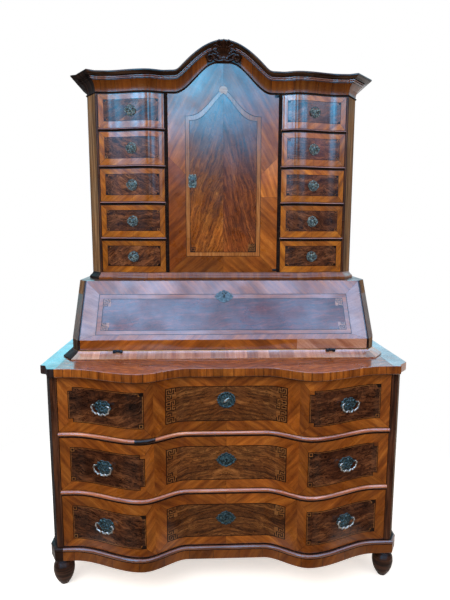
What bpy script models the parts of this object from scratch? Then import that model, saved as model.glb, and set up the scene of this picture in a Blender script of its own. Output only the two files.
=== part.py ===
# Bureau cabinet in the South German Baroque manner: a commode of three long
# drawers with a double-bulged front, a slant-front desk, and an upper cabinet
# with an arched door between two columns of small drawers.
# Frame: +X to the right, -Y to the front, +Z up, origin under the middle of the
# bounding box on the floor. All lengths are in metres.

import math

import bmesh
import bpy
from mathutils import Matrix, Vector

# Clearances
FIT = 0.0003
RUNNING_GAP = 0.0012
PIN_PLAY = 0.0004
OVERRUN = 0.002
WELD_DISTANCE = 0.00003

# Commode
TOP_WIDTH = 1.300
TOP_DEPTH = 0.690
TOP_THICKNESS = 0.0325
TOP_OVERHANG_FRONT = 0.024
TOP_OVERHANG_SIDE = 0.018
TOP_CANT_WIDTH = 0.044
BULGE = 0.0725
BODY_CANT_WIDTH = 0.020
BODY_CANT_DEPTH = 0.034
STILE_WIDTH = 0.022
LONG_FRONT_HEIGHT = 0.204
LONG_FRONT_THICKNESS = 0.024
LONG_SIDE_THICKNESS = 0.013
LONG_BOTTOM_THICKNESS = 0.010
LONG_DRAWER_BACK_SPACE = 0.030
BACK_THICKNESS = 0.012
BEAD_HEIGHT = 0.014
BEAD_PROUD = 0.0065
LONG_DRAWERS = 3

# Plinth and feet
PLINTH_BAND_HEIGHT = 0.034
PLINTH_PROUD = 0.012
PLINTH_RAIL_WIDTH = 0.046
BASE_BOARD_THICKNESS = 0.020
RUNNER_WIDTH = 0.060
FOOT_HEIGHT = 0.1165
FOOT_RADIUS = 0.038
FOOT_INSET_SIDE = 0.030
FOOT_INSET_FRONT = 0.036
FOOT_INSET_BACK = 0.060

# Desk section
DESK_WIDTH = 1.138
DESK_CANT_WIDTH = 0.028
DESK_CANT_DEPTH = 0.040
DESK_SIDE_THICKNESS = 0.031
DESK_SETBACK = 0.144
LEDGE_HEIGHT = 0.031
LEDGE_PROUD = 0.034
LEDGE_FILLET = 0.005
KNEE_HEIGHT = 0.040
SLOPE_RISE = 0.201
SLOPE_RUN = 0.1417
LID_THICKNESS = 0.020
DESK_TOP_THICKNESS = 0.018
BED_GAP = 0.0015
LID_HINGE_REACH = 0.396
LID_HINGE_LENGTH = 0.036
LID_HINGE_RADIUS = 0.0045
LID_HINGE_OFFSET = 0.0055
LID_HINGE_TAB = 0.005
LID_HINGE_TAB_INSET = 0.0005
LID_HINGE_SEAT = 0.001

# Upper cabinet
UPPER_WIDTH = 1.075
UPPER_SETBACK = 0.256
UPPER_CANT_WIDTH = 0.044
UPPER_CANT_DEPTH = 0.058
UPPER_STILE_WIDTH = 0.0063
UPPER_BASE_HEIGHT = 0.027
UPPER_BASE_PROUD = 0.013
COLUMN_BULGE = 0.030
DOOR_WIDTH = 0.433
DOOR_THICKNESS = 0.020
DOOR_GAP = 0.0015
PARTITION_THICKNESS = 0.010
SMALL_FRONT_HEIGHT = 0.1302
SMALL_FRONT_THICKNESS = 0.014
SMALL_SIDE_THICKNESS = 0.008
SMALL_BOTTOM_THICKNESS = 0.006
SMALL_DRAWER_BACK_SPACE = 0.025
SMALL_BEAD_HEIGHT = 0.010
SMALL_BEAD_PROUD = 0.005
SMALL_DRAWERS = 5
UPPER_TOP_THICKNESS = 0.016

# Cornice
CORNICE_HEIGHT = 0.075
CORNICE_PROUD = 0.030
CORNICE_CORNER_PROUD = 0.046
CORNICE_SIDE_PROUD = 0.058
CORNICE_WALL = 0.022
INNER_CANT = 0.003
BELL_HALF_WIDTH = 0.190
BELL_RISE = 0.112
ARCH_HALF_WIDTH = 0.176
ARCH_RISE = 0.112
ARCH_FOOT = 0.012
CREST_RELIEF = 0.015
CREST_EDGE = 0.002

# Door pivots and keys
PIVOT_INSET = 0.011
PIVOT_SETBACK = 0.004
PIVOT_RADIUS = 0.003
PIVOT_LENGTH = 0.008
KEY_RADIUS = 0.0022
KEY_LENGTH = 0.024
KEY_DEPTH = 0.012
KEY_BOW_RADIUS = 0.0085
KEY_BOW_WIRE = 0.0019
DOOR_KEY_INSET = 0.095
DOOR_KEY_HEIGHT = 0.361
LID_KEY_DROP = 0.070
ESCUTCHEON_THICKNESS = 0.0015

# Drop handles of the long drawers
HANDLE_REACH = 0.425
HANDLE_PLATE_WIDTH = 0.066
HANDLE_PLATE_HEIGHT = 0.058
HANDLE_PLATE_THICKNESS = 0.002
HANDLE_POST_SPREAD = 0.046
HANDLE_POST_RADIUS = 0.0042
HANDLE_POST_LENGTH = 0.019
HANDLE_BAIL_WIDTH = 0.070
HANDLE_BAIL_DROP = 0.034
HANDLE_BAIL_WIRE = 0.0027
HANDLE_RISE = 0.012
HANDLE_PLATE_LOBES = 6

# Drop handles of the small drawers
PULL_PLATE_DIAMETER = 0.044
PULL_PLATE_THICKNESS = 0.0015
PULL_POST_SPREAD = 0.024
PULL_POST_RADIUS = 0.0026
PULL_POST_LENGTH = 0.013
PULL_BAIL_WIDTH = 0.038
PULL_BAIL_DROP = 0.021
PULL_BAIL_WIRE = 0.0016
PULL_RISE = 0.006
PULL_PLATE_LOBES = 8
ESCUTCHEON_LOBES = 4

# Shares of the sizes above that shape the curves
SERPENTINE_CENTRE_SHARE = 0.10
SERPENTINE_RISE_SHARES = (0.235, 0.50)
SERPENTINE_FALL_SHARES = (0.50, 0.93)
COLUMN_INNER_SHARE = 0.50
COLUMN_RISE_SHARES = (0.0, 0.24)
COLUMN_FALL_SHARES = (0.24, 0.86)
BELL_FLAT_SHARE = 0.12
ARCH_ROUNDNESS = 1.85
HANDLE_LOBE_SHARE = 0.16
PULL_LOBE_SHARE = 0.10
ESCUTCHEON_LOBE_SHARE = 0.22
SERPENTINE_STEPS = 36
COLUMN_STEPS = 9
ARCH_STEPS = 22
BEAD_STEPS = 4
ROUND_SIDES = 8
FOOT_SIDES = 14
PLATE_STEPS = 24
PULL_PLATE_STEPS = 16
CREST_STEPS = 5
SHARP_ANGLE = math.radians(40)

# Each profile is a list of shares: how far proud of the body, how high
CORNICE_PROFILE_SHARES = ((0.0, 0.0), (0.02, 0.18), (0.09, 0.36), (0.21, 0.52), (0.38, 0.63),
                          (0.50, 0.66), (0.50, 0.70), (0.62, 0.73), (0.80, 0.79), (0.90, 0.88),
                          (1.0, 0.90), (1.0, 1.0))
LEDGE_CURVE_SHARES = ((0.82, 0.22), (0.55, 0.34), (0.30, 0.52), (0.10, 0.76))
TOP_EDGE_SHARES = ((0.55, 0.0), (0.80, 0.14), (0.92, 0.30), (1.0, 0.42), (1.0, 0.86), (0.95, 1.0))
UPPER_BASE_SHARES = ((1.0, 0.0), (1.0, 0.34), (0.80, 0.46), (0.30, 0.70), (0.0, 1.0))
FOOT_PROFILE_SHARES = ((0.80, 1.0), (0.88, 0.97), (0.90, 0.93), (0.82, 0.89), (0.66, 0.86),
                       (0.66, 0.83), (0.80, 0.77), (0.94, 0.68), (1.0, 0.57), (0.98, 0.46),
                       (0.89, 0.34), (0.74, 0.22), (0.55, 0.12), (0.40, 0.05), (0.30, 0.0))
BAIL_SHARES = ((1.0, 0.12), (0.97, 0.42), (0.82, 0.70), (0.52, 0.86), (0.24, 0.84), (0.0, 1.0))
# Relief of the carving over the cornice: along its height, and outwards from its middle
CREST_HEIGHT_SHARES = (0.30, 0.85, 0.95, 0.62, 0.45, 0.15)
CREST_WIDTH_SHARES = (1.0, 0.62, 0.95, 0.55, 0.75, 0.10)

# Levels, from the floor up
PLINTH_BAND_TOP = FOOT_HEIGHT + PLINTH_BAND_HEIGHT
PLINTH_TOP = PLINTH_BAND_TOP + BEAD_HEIGHT
LONG_PITCH = LONG_FRONT_HEIGHT + BEAD_HEIGHT
COMMODE_HEIGHT = PLINTH_TOP + LONG_DRAWERS * LONG_PITCH - BEAD_HEIGHT
TOP_HEIGHT = COMMODE_HEIGHT + TOP_THICKNESS
LID_BOTTOM = TOP_HEIGHT + LEDGE_HEIGHT
KNEE = LID_BOTTOM + KNEE_HEIGHT
DESK_HEIGHT = KNEE + SLOPE_RISE
DOOR_BOTTOM = DESK_HEIGHT + UPPER_BASE_HEIGHT
SMALL_PITCH = SMALL_FRONT_HEIGHT + SMALL_BEAD_HEIGHT
CASE_TOP = DOOR_BOTTOM + SMALL_DRAWERS * SMALL_PITCH - SMALL_BEAD_HEIGHT

# Planes, from the back to the front
BACK_Y = TOP_DEPTH / 2
INNER_BACK_Y = BACK_Y - BACK_THICKNESS
TOP_END_Y = -TOP_DEPTH / 2 + BULGE
BODY_END_Y = TOP_END_Y + TOP_OVERHANG_FRONT
LID_Y = TOP_END_Y + DESK_SETBACK
LID_TOP_Y = LID_Y + SLOPE_RUN
STILE_Y = BACK_Y - UPPER_SETBACK
DOOR_Y = STILE_Y - COLUMN_BULGE * COLUMN_INNER_SHARE

# Half widths
TOP_HALF = TOP_WIDTH / 2
BODY_HALF = TOP_HALF - TOP_OVERHANG_SIDE
LONG_HALF = BODY_HALF - BODY_CANT_WIDTH - STILE_WIDTH
DESK_HALF = DESK_WIDTH / 2
LID_HALF = DESK_HALF - DESK_SIDE_THICKNESS
UPPER_HALF = UPPER_WIDTH / 2
DOOR_HALF = DOOR_WIDTH / 2
COLUMN_INNER = DOOR_HALF + DOOR_GAP + PARTITION_THICKNESS
COLUMN_OUTER = UPPER_HALF - UPPER_CANT_WIDTH - UPPER_STILE_WIDTH

SIDES = (("left", -1), ("right", 1))


# Scene set-up
for old_object in list(bpy.data.objects):
    bpy.data.objects.remove(old_object, do_unlink=True)


def new_collection(name):
    group = bpy.data.collections.new(name)
    bpy.context.scene.collection.children.link(group)
    return group


PARTS = new_collection("bureau_cabinet")
CUTTERS = new_collection("cutters")


def new_material(name, colour, roughness, metallic=0.0):
    made = bpy.data.materials.new(name)
    made.use_nodes = True
    made.diffuse_color = (*colour, 1.0)
    shader = made.node_tree.nodes["Principled BSDF"]
    shader.inputs["Base Color"].default_value = (*colour, 1.0)
    shader.inputs["Roughness"].default_value = roughness
    shader.inputs["Metallic"].default_value = metallic
    return made


BURR = new_material("burr_walnut", (0.16, 0.065, 0.028), 0.28)
BANDING = new_material("fruitwood_banding", (0.36, 0.15, 0.045), 0.30)
DARK_WOOD = new_material("dark_stained_wood", (0.045, 0.024, 0.014), 0.35)
CARCASS = new_material("carcass_softwood", (0.38, 0.24, 0.12), 0.65)
CARVED = new_material("carved_walnut", (0.07, 0.035, 0.018), 0.40)
BRASS = new_material("patinated_brass", (0.34, 0.27, 0.14), 0.38, 1.0)
IRON = new_material("patinated_iron", (0.16, 0.17, 0.18), 0.42, 1.0)


# Mesh makers
def finish(name, mesh, look, group=PARTS):
    """Put a mesh in the scene as a named object."""
    made = bpy.data.objects.new(name, mesh)
    group.objects.link(made)
    mesh.materials.append(look)
    if group == CUTTERS:
        made.hide_render = True
        made.display_type = "WIRE"
    return made


def cutter(name, mesh):
    return finish(name, mesh, CARCASS, CUTTERS)


def from_bmesh(name, shape):
    bmesh.ops.recalc_face_normals(shape, faces=shape.faces)
    mesh = bpy.data.meshes.new(name)
    shape.to_mesh(mesh)
    shape.free()
    return mesh


def box_mesh(name, low, high):
    """A block between two corners."""
    shape = bmesh.new()
    bmesh.ops.create_cube(shape, size=1)
    size = Vector(high) - Vector(low)
    middle = (Vector(high) + Vector(low)) / 2
    bmesh.ops.scale(shape, vec=size, verts=shape.verts)
    bmesh.ops.translate(shape, vec=middle, verts=shape.verts)
    return from_bmesh(name, shape)


def outline_mesh(name, outline, low, high, turn=Matrix()):
    """A flat outline drawn in X and Y, made solid from low to high along Z, then turned."""
    curve = bpy.data.curves.new(name, "CURVE")
    curve.dimensions = "2D"
    curve.fill_mode = "BOTH"
    curve.extrude = (high - low) / 2
    line = curve.splines.new("POLY")
    line.points.add(len(outline) - 1)
    for point, (x, y) in zip(line.points, outline):
        point.co = (x, y, 0, 1)
    line.use_cyclic_u = True
    mesh = curve_to_mesh(name, curve)
    mesh.transform(turn @ Matrix.Translation((0, 0, (low + high) / 2)))
    return mesh


def curve_to_mesh(name, curve):
    """A closed, welded mesh from a curve, which is then removed."""
    guide = bpy.data.objects.new(name, curve)
    CUTTERS.objects.link(guide)
    bpy.context.view_layer.update()
    evaluated = guide.evaluated_get(bpy.context.evaluated_depsgraph_get())
    mesh = bpy.data.meshes.new_from_object(evaluated)
    bpy.data.objects.remove(guide, do_unlink=True)
    shape = bmesh.new()
    shape.from_mesh(mesh)
    bmesh.ops.remove_doubles(shape, verts=shape.verts, dist=WELD_DISTANCE)
    bmesh.ops.recalc_face_normals(shape, faces=shape.faces)
    shape.to_mesh(mesh)
    shape.free()
    mesh.name = name
    return mesh


def loft_mesh(name, sections, closed=False):
    """A skin over sections of equal point counts, capped unless the path is closed."""
    shape = bmesh.new()
    rings = [[shape.verts.new(point) for point in section] for section in sections]
    count = len(rings[0])
    spans = list(zip(rings, rings[1:]))
    if closed:
        spans.append((rings[-1], rings[0]))
    for first, second in spans:
        for index in range(count):
            after = (index + 1) % count
            shape.faces.new((first[index], first[after], second[after], second[index]))
    if not closed:
        shape.faces.new(rings[0])
        shape.faces.new(rings[-1])
    return from_bmesh(name, shape)


def tray_mesh(name, outline, hollow, low, floor, high):
    """An open box: an outline from low to high, and a hollow of as many points down to a floor."""
    rings = ((outline, low), (outline, high), (hollow, high), (hollow, floor))
    return loft_mesh(name, [[(x, y, z) for x, y in ring] for ring, z in rings])


def cylinder_mesh(name, radius, low, high, turn=Matrix(), sides=ROUND_SIDES):
    """A round rod along Z from low to high, then turned."""
    shape = bmesh.new()
    bmesh.ops.create_cone(shape, cap_ends=True, segments=sides, radius1=radius, radius2=radius,
                          depth=high - low)
    mesh = from_bmesh(name, shape)
    mesh.transform(turn @ Matrix.Translation((0, 0, (low + high) / 2)))
    return mesh


def tube_mesh(name, points, radius, bevel_steps=1):
    """A wire along points, with filled ends."""
    curve = bpy.data.curves.new(name, "CURVE")
    curve.dimensions = "3D"
    curve.bevel_depth = radius
    curve.bevel_resolution = bevel_steps
    curve.use_fill_caps = True
    line = curve.splines.new("POLY")
    line.points.add(len(points) - 1)
    for point, place in zip(line.points, points):
        point.co = (*place, 1)
    return curve_to_mesh(name, curve)


def combine(target, operation, tool):
    """A live Boolean between a part and a hidden solid."""
    step = target.modifiers.new(operation.lower() + "_" + tool.name, "BOOLEAN")
    step.operation = operation
    step.solver = "EXACT"
    step.object = tool


def shade_round(made):
    made.data.shade_smooth()
    made.data.set_sharp_from_angle(angle=SHARP_ANGLE)


def set_origin(made, place, parent=None):
    """Move an object's origin to its joint, and hang it on what carries it."""
    made.data.transform(Matrix.Translation(-Vector(place)))
    made.location = place
    if parent:
        made.parent = parent
        made.location = Vector(place) - parent.location


# Curves that several pieces share
def smooth_step(low, high, value):
    share = min(max((value - low) / (high - low), 0.0), 1.0)
    return share * share * (3 - 2 * share)


def serpentine(x):
    """How far the commode's front stands forward of its outer ends."""
    share = min(abs(x) / LONG_HALF, 1.0)
    if share < SERPENTINE_RISE_SHARES[1]:
        rise = smooth_step(*SERPENTINE_RISE_SHARES, share)
        return BULGE * (SERPENTINE_CENTRE_SHARE + (1 - SERPENTINE_CENTRE_SHARE) * rise)
    return BULGE * (1 - smooth_step(*SERPENTINE_FALL_SHARES, share))


def column_swell(x):
    """How far the small drawers' fronts stand forward of the corner stiles."""
    share = (abs(x) - COLUMN_INNER) / (COLUMN_OUTER - COLUMN_INNER)
    if share < COLUMN_RISE_SHARES[1]:
        rise = smooth_step(*COLUMN_RISE_SHARES, share)
        return COLUMN_BULGE * (COLUMN_INNER_SHARE + (1 - COLUMN_INNER_SHARE) * rise)
    return COLUMN_BULGE * (1 - smooth_step(*COLUMN_FALL_SHARES, share))


def slope_of(curve, x):
    """The turn about Z that lays a plate on a curved front."""
    step = OVERRUN
    return math.atan((curve(x - step) - curve(x + step)) / (2 * step))


def bell(x):
    """Height of the door's ogee top over its shoulders."""
    share = min(abs(x) / BELL_HALF_WIDTH, 1.0)
    share = max(share - BELL_FLAT_SHARE, 0.0) / (1 - BELL_FLAT_SHARE)
    return BELL_RISE * (1 + math.cos(math.pi * share)) / 2


def arch(x):
    """Height of the cornice's round arch over its straight ends, with a hollow at each foot."""
    rise = ARCH_RISE * (1 - (abs(x) / ARCH_HALF_WIDTH) ** ARCH_ROUNDNESS)
    return (rise + math.hypot(rise, ARCH_FOOT)) / 2


def spread(low, high, steps):
    return [low + (high - low) * index / steps for index in range(steps + 1)]


# Plan lines, from the back left corner round the front to the back right corner
def mirrored(half):
    """A plan line from its left half, which runs from the back to the middle."""
    return half + [(-x, y) for x, y in reversed(half) if x < 0]


def cant_start(half_width, cant_width, cant_depth, front_y, back_y):
    return [(-half_width, back_y), (-half_width, front_y + cant_depth),
            (-half_width + cant_width, front_y)]


def commode_plan(back_y):
    half = cant_start(BODY_HALF, BODY_CANT_WIDTH, BODY_CANT_DEPTH, BODY_END_Y, back_y)
    half += [(x, BODY_END_Y - serpentine(x)) for x in spread(-LONG_HALF, 0, SERPENTINE_STEPS // 2)]
    return mirrored(half)


def commode_inner_plan(inset, back_y):
    """As many points as commode_plan, this far inside it."""
    half_width = BODY_HALF - inset
    front_y = BODY_END_Y + inset
    half = cant_start(half_width, INNER_CANT, INNER_CANT, front_y, back_y)
    for x in spread(-LONG_HALF, 0, SERPENTINE_STEPS // 2):
        half.append((max(x, -half_width + 2 * INNER_CANT), front_y - serpentine(x)))
    return mirrored(half)


def desk_plan(back_y):
    return mirrored(cant_start(DESK_HALF, DESK_CANT_WIDTH, DESK_CANT_DEPTH, LID_Y, back_y))


def upper_plan(back_y, centre_steps, inset=0):
    half_width = UPPER_HALF - inset
    front_y = STILE_Y + inset
    half = cant_start(half_width, UPPER_CANT_WIDTH, UPPER_CANT_DEPTH, front_y, back_y)
    column_outer = min(COLUMN_OUTER, half_width - UPPER_CANT_WIDTH - INNER_CANT)
    half += [(x, front_y - column_swell(x)) for x in spread(-column_outer, -COLUMN_INNER, COLUMN_STEPS)]
    if centre_steps:
        door_y = DOOR_Y + inset
        half += [(x, door_y) for x in spread(-BELL_HALF_WIDTH, -ARCH_HALF_WIDTH, 1)]
        half += [(x, door_y) for x in spread(-ARCH_HALF_WIDTH, 0, centre_steps // 2)[1:]]
    return mirrored(half)


def outward(plan):
    """Mitre vectors of a plan line: one metre proud of each face it joins."""
    normals = []
    for (x1, y1), (x2, y2) in zip(plan, plan[1:]):
        normals.append(Vector((y2 - y1, x1 - x2)).normalized())
    first = [normals[0]] + normals
    second = normals + [normals[-1]]
    return [(a + b) / (1 + a.dot(b)) for a, b in zip(first, second)]


def moulding_mesh(name, plan, profile, low, high, inner_plan=(), reach=None):
    """A moulding swept round a plan line, with a plain inner face if it is given an inner line.

    low and high give its levels for each x. With reach, which gives how proud it stands at each x,
    the profile is in shares of that.
    """
    sections = []
    for index, ((x, y), mitre) in enumerate(zip(plan, outward(plan))):
        if reach:
            mitre = mitre * reach(x)
        base = low(x)
        height = high(x) - base
        section = [(x + mitre.x * proud, y + mitre.y * proud, base + height * level)
                   for proud, level in profile]
        if inner_plan:
            inner = inner_plan[index]
            section = [(*inner, base)] + section + [(*inner, base + height)]
        sections.append(section)
    return loft_mesh(name, sections)


def board_mesh(name, plan, levels):
    """A board over a plan line with a moulded edge, given as (proud, height) levels."""
    sections = []
    for proud, height in levels:
        line = [Vector(point) + mitre * proud for point, mitre in zip(plan, outward(plan))]
        sections.append([(point.x, point.y, height) for point in line])
    return loft_mesh(name, sections)


def constant(level):
    return lambda x: level


def rail_mesh(name, xs, front, back_y, low, high, proud):
    """A dust board whose half-round lip follows a curved front."""
    sections = []
    for x in xs:
        section = [(x, back_y, low)]
        for angle in spread(-math.pi / 2, math.pi / 2, BEAD_STEPS):
            height = (low + high) / 2 + (high - low) / 2 * math.sin(angle)
            section.append((x, front(x) - proud * math.cos(angle), height))
        section.append((x, back_y, high))
        sections.append(section)
    return loft_mesh(name, sections)


def long_front_y(x):
    return BODY_END_Y - serpentine(x)


def small_front_y(x):
    return STILE_Y - column_swell(x)


# Commode
def build_commode_top():
    plan = commode_plan(BACK_Y)
    levels = [(TOP_OVERHANG_FRONT * proud, COMMODE_HEIGHT + FIT + (TOP_THICKNESS - FIT) * level)
              for proud, level in TOP_EDGE_SHARES]
    sections = []
    for proud, height in levels:
        side_proud = proud * TOP_OVERHANG_SIDE / TOP_OVERHANG_FRONT
        line = []
        for (x, y), mitre in zip(plan, outward(plan)):
            reach = x + mitre.x * side_proud
            if LONG_HALF < abs(x) < BODY_HALF:
                reach = math.copysign(TOP_HALF - TOP_CANT_WIDTH, x)
            line.append((reach, y + mitre.y * proud, height))
        sections.append(line)
    shade_round(finish("commode_top", loft_mesh("commode_top", sections), BANDING))


def build_commode_sides():
    for side, sign in SIDES:
        inner = LONG_HALF + FIT
        outline = [(inner, INNER_BACK_Y), (BODY_HALF, INNER_BACK_Y),
                   (BODY_HALF, BODY_END_Y + BODY_CANT_DEPTH),
                   (BODY_HALF - BODY_CANT_WIDTH, BODY_END_Y), (inner, BODY_END_Y)]
        outline = [(sign * x, y) for x, y in outline]
        name = "commode_side_" + side
        finish(name, outline_mesh(name, outline, PLINTH_TOP + FIT, COMMODE_HEIGHT), DARK_WOOD)


def build_commode_back():
    low = (-BODY_HALF, INNER_BACK_Y + FIT, PLINTH_TOP + FIT)
    high = (BODY_HALF, BACK_Y, COMMODE_HEIGHT)
    finish("commode_back", box_mesh("commode_back", low, high), CARCASS)


def build_plinth():
    band_share = PLINTH_BAND_HEIGHT / (PLINTH_TOP - FOOT_HEIGHT)
    profile = [(PLINTH_PROUD, 0.0), (PLINTH_PROUD, band_share)]
    middle = (1 + band_share) / 2
    for angle in spread(-math.pi / 2, math.pi / 2, BEAD_STEPS)[1:]:
        lip = BEAD_PROUD * (1 + math.cos(angle))
        profile.append((lip, middle + (1 - band_share) / 2 * math.sin(angle)))
    mesh = moulding_mesh("plinth", commode_plan(BACK_Y), profile, constant(FOOT_HEIGHT),
                         constant(PLINTH_TOP), commode_inner_plan(PLINTH_RAIL_WIDTH, BACK_Y))
    shade_round(finish("plinth", mesh, BANDING))


def build_base_board():
    """The board inside the plinth, with the runners of the lowest drawer on it."""
    inset = PLINTH_RAIL_WIDTH + FIT
    plan = commode_inner_plan(inset, BACK_Y)
    sections = [[(x, y, z) for x, y in plan] for z in (FOOT_HEIGHT, FOOT_HEIGHT + BASE_BOARD_THICKNESS)]
    board = finish("base_board", loft_mesh("base_board", sections), CARCASS)
    half = BODY_HALF - inset
    front = BODY_END_Y + inset + 2 * INNER_CANT
    for side, sign in SIDES:
        xs = sorted((sign * half, sign * (half - RUNNER_WIDTH)))
        low = (xs[0], front, FOOT_HEIGHT + BASE_BOARD_THICKNESS - OVERRUN)
        high = (xs[1], INNER_BACK_Y, PLINTH_TOP)
        combine(board, "UNION", cutter("runner_" + side, box_mesh("runner_" + side, low, high)))


def build_dust_boards():
    for number, name in enumerate(("upper_dust_board", "lower_dust_board"), 1):
        low = COMMODE_HEIGHT - number * LONG_PITCH
        xs = spread(-LONG_HALF, LONG_HALF, SERPENTINE_STEPS)
        mesh = rail_mesh(name, xs, long_front_y, INNER_BACK_Y, low, low + BEAD_HEIGHT, BEAD_PROUD)
        shade_round(finish(name, mesh, BANDING))


def build_feet():
    """Turned onion feet: a profile on the XZ plane with a Screw modifier."""
    front_y = BODY_END_Y + FOOT_INSET_FRONT
    back_y = BACK_Y - FOOT_INSET_BACK
    radius = FOOT_RADIUS
    height = FOOT_HEIGHT - FIT
    line = [(0, height)] + [(radius * r, height * z) for r, z in FOOT_PROFILE_SHARES] + [(0, 0)]
    mesh = bpy.data.meshes.new("foot_profile")
    edges = [(index, index + 1) for index in range(len(line) - 1)]
    mesh.from_pydata([(r, 0, z) for r, z in line], edges, [])
    mesh.materials.append(DARK_WOOD)
    for side, sign in SIDES:
        for row, y in (("front", front_y), ("back", back_y)):
            foot = bpy.data.objects.new("foot_" + row + "_" + side, mesh)
            PARTS.objects.link(foot)
            foot.location = (sign * (BODY_HALF - FOOT_INSET_SIDE), y, 0)
            screw = foot.modifiers.new("turning", "SCREW")
            screw.steps = FOOT_SIDES
            screw.render_steps = FOOT_SIDES
            screw.use_merge_vertices = True
            screw.merge_threshold = WELD_DISTANCE
            screw.use_smooth_shade = True


# Handles
def lobed_outline(width, height, lobes, depth_share, steps):
    """A flower-like plate outline round the origin."""
    points = []
    for angle in spread(0, 2 * math.pi, steps)[:-1]:
        reach = 1 - depth_share * (1 - math.cos(lobes * angle)) / 2
        points.append((width / 2 * reach * math.cos(angle), height / 2 * reach * math.sin(angle)))
    return points


def handle_frame(x, y, z, curve):
    """Where a plate sits on a front: local Z points out of the front, local Y points up."""
    upright = Matrix.Rotation(math.pi / 2, 4, "X")
    return Matrix.Translation((x, y, z)) @ Matrix.Rotation(slope_of(curve, x), 4, "Z") @ upright


def add_plate(carrier, name, outline, thickness, sink, frame):
    plate = cutter(name, outline_mesh(name, outline, -sink, thickness, frame))
    combine(carrier, "UNION", plate)


def add_posts(carrier, name, spread_width, radius, length, rise, frame):
    for side, sign in SIDES:
        place = frame @ Matrix.Translation((sign * spread_width / 2, rise, 0))
        post = cylinder_mesh(name + "_post_" + side, radius, -OVERRUN / 2, length, place)
        combine(carrier, "UNION", cutter(name + "_post_" + side, post))


def build_bail(name, look, carrier, frame, sizes):
    """A hanging bail whose ends meet its posts' outer sides."""
    width, drop, wire, post_spread, post_radius, reach, rise = sizes
    inner = post_spread / 2 + post_radius + FIT
    half = width / 2
    right = [(inner, 0), (inner + wire, 0)] + [(half * x, -drop * z) for x, z in BAIL_SHARES]
    line = [(-x, y) for x, y in right] + [(x, y) for x, y in reversed(right[:-1])]
    axis = frame @ Vector((0, rise, reach))
    turn = frame.to_3x3().to_4x4()
    mesh = tube_mesh(name, [(x, y, 0) for x, y in line], wire)
    mesh.transform(turn)
    bail = finish(name, mesh, look)
    shade_round(bail)
    bail.parent = carrier
    bail.location = axis - carrier.location
    return bail


def build_long_drawers():
    half = LONG_HALF - RUNNING_GAP
    back = INNER_BACK_Y - LONG_DRAWER_BACK_SPACE
    xs = spread(-half, half, SERPENTINE_STEPS)
    inner_half = half - LONG_SIDE_THICKNESS
    inner_xs = spread(-inner_half, inner_half, SERPENTINE_STEPS)
    outer = [(-half, back)] + [(x, long_front_y(x)) for x in xs] + [(half, back)]
    inner_back = back - LONG_SIDE_THICKNESS
    hollow = [(-inner_half, inner_back)]
    hollow += [(x, long_front_y(x) + LONG_FRONT_THICKNESS) for x in inner_xs]
    hollow += [(inner_half, inner_back)]
    plate = lobed_outline(HANDLE_PLATE_WIDTH, HANDLE_PLATE_HEIGHT, HANDLE_PLATE_LOBES,
                          HANDLE_LOBE_SHARE, PLATE_STEPS)
    sizes = (HANDLE_BAIL_WIDTH, HANDLE_BAIL_DROP, HANDLE_BAIL_WIRE, HANDLE_POST_SPREAD,
             HANDLE_POST_RADIUS, HANDLE_POST_LENGTH - HANDLE_POST_RADIUS, HANDLE_RISE)
    for number in range(1, LONG_DRAWERS + 1):
        name = "long_drawer_" + str(number)
        low = COMMODE_HEIGHT - (number - 1) * LONG_PITCH - LONG_FRONT_HEIGHT + FIT
        high = low + LONG_FRONT_HEIGHT - RUNNING_GAP
        floor = low + LONG_BOTTOM_THICKNESS
        drawer = finish(name, tray_mesh(name, outer, hollow, low, floor, high), BURR)
        set_origin(drawer, (0, BODY_END_Y, low))
        for side, sign in SIDES:
            x = sign * HANDLE_REACH
            frame = handle_frame(x, long_front_y(x), (low + high) / 2, serpentine)
            label = name + "_handle_" + side
            add_plate(drawer, label + "_plate", plate, HANDLE_PLATE_THICKNESS, OVERRUN, frame)
            add_posts(drawer, label, HANDLE_POST_SPREAD, HANDLE_POST_RADIUS, HANDLE_POST_LENGTH,
                      HANDLE_RISE, frame)
            bail = "long_bail_" + str(number) + "_" + side
            build_bail(bail, IRON, drawer, frame, sizes)


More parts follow.
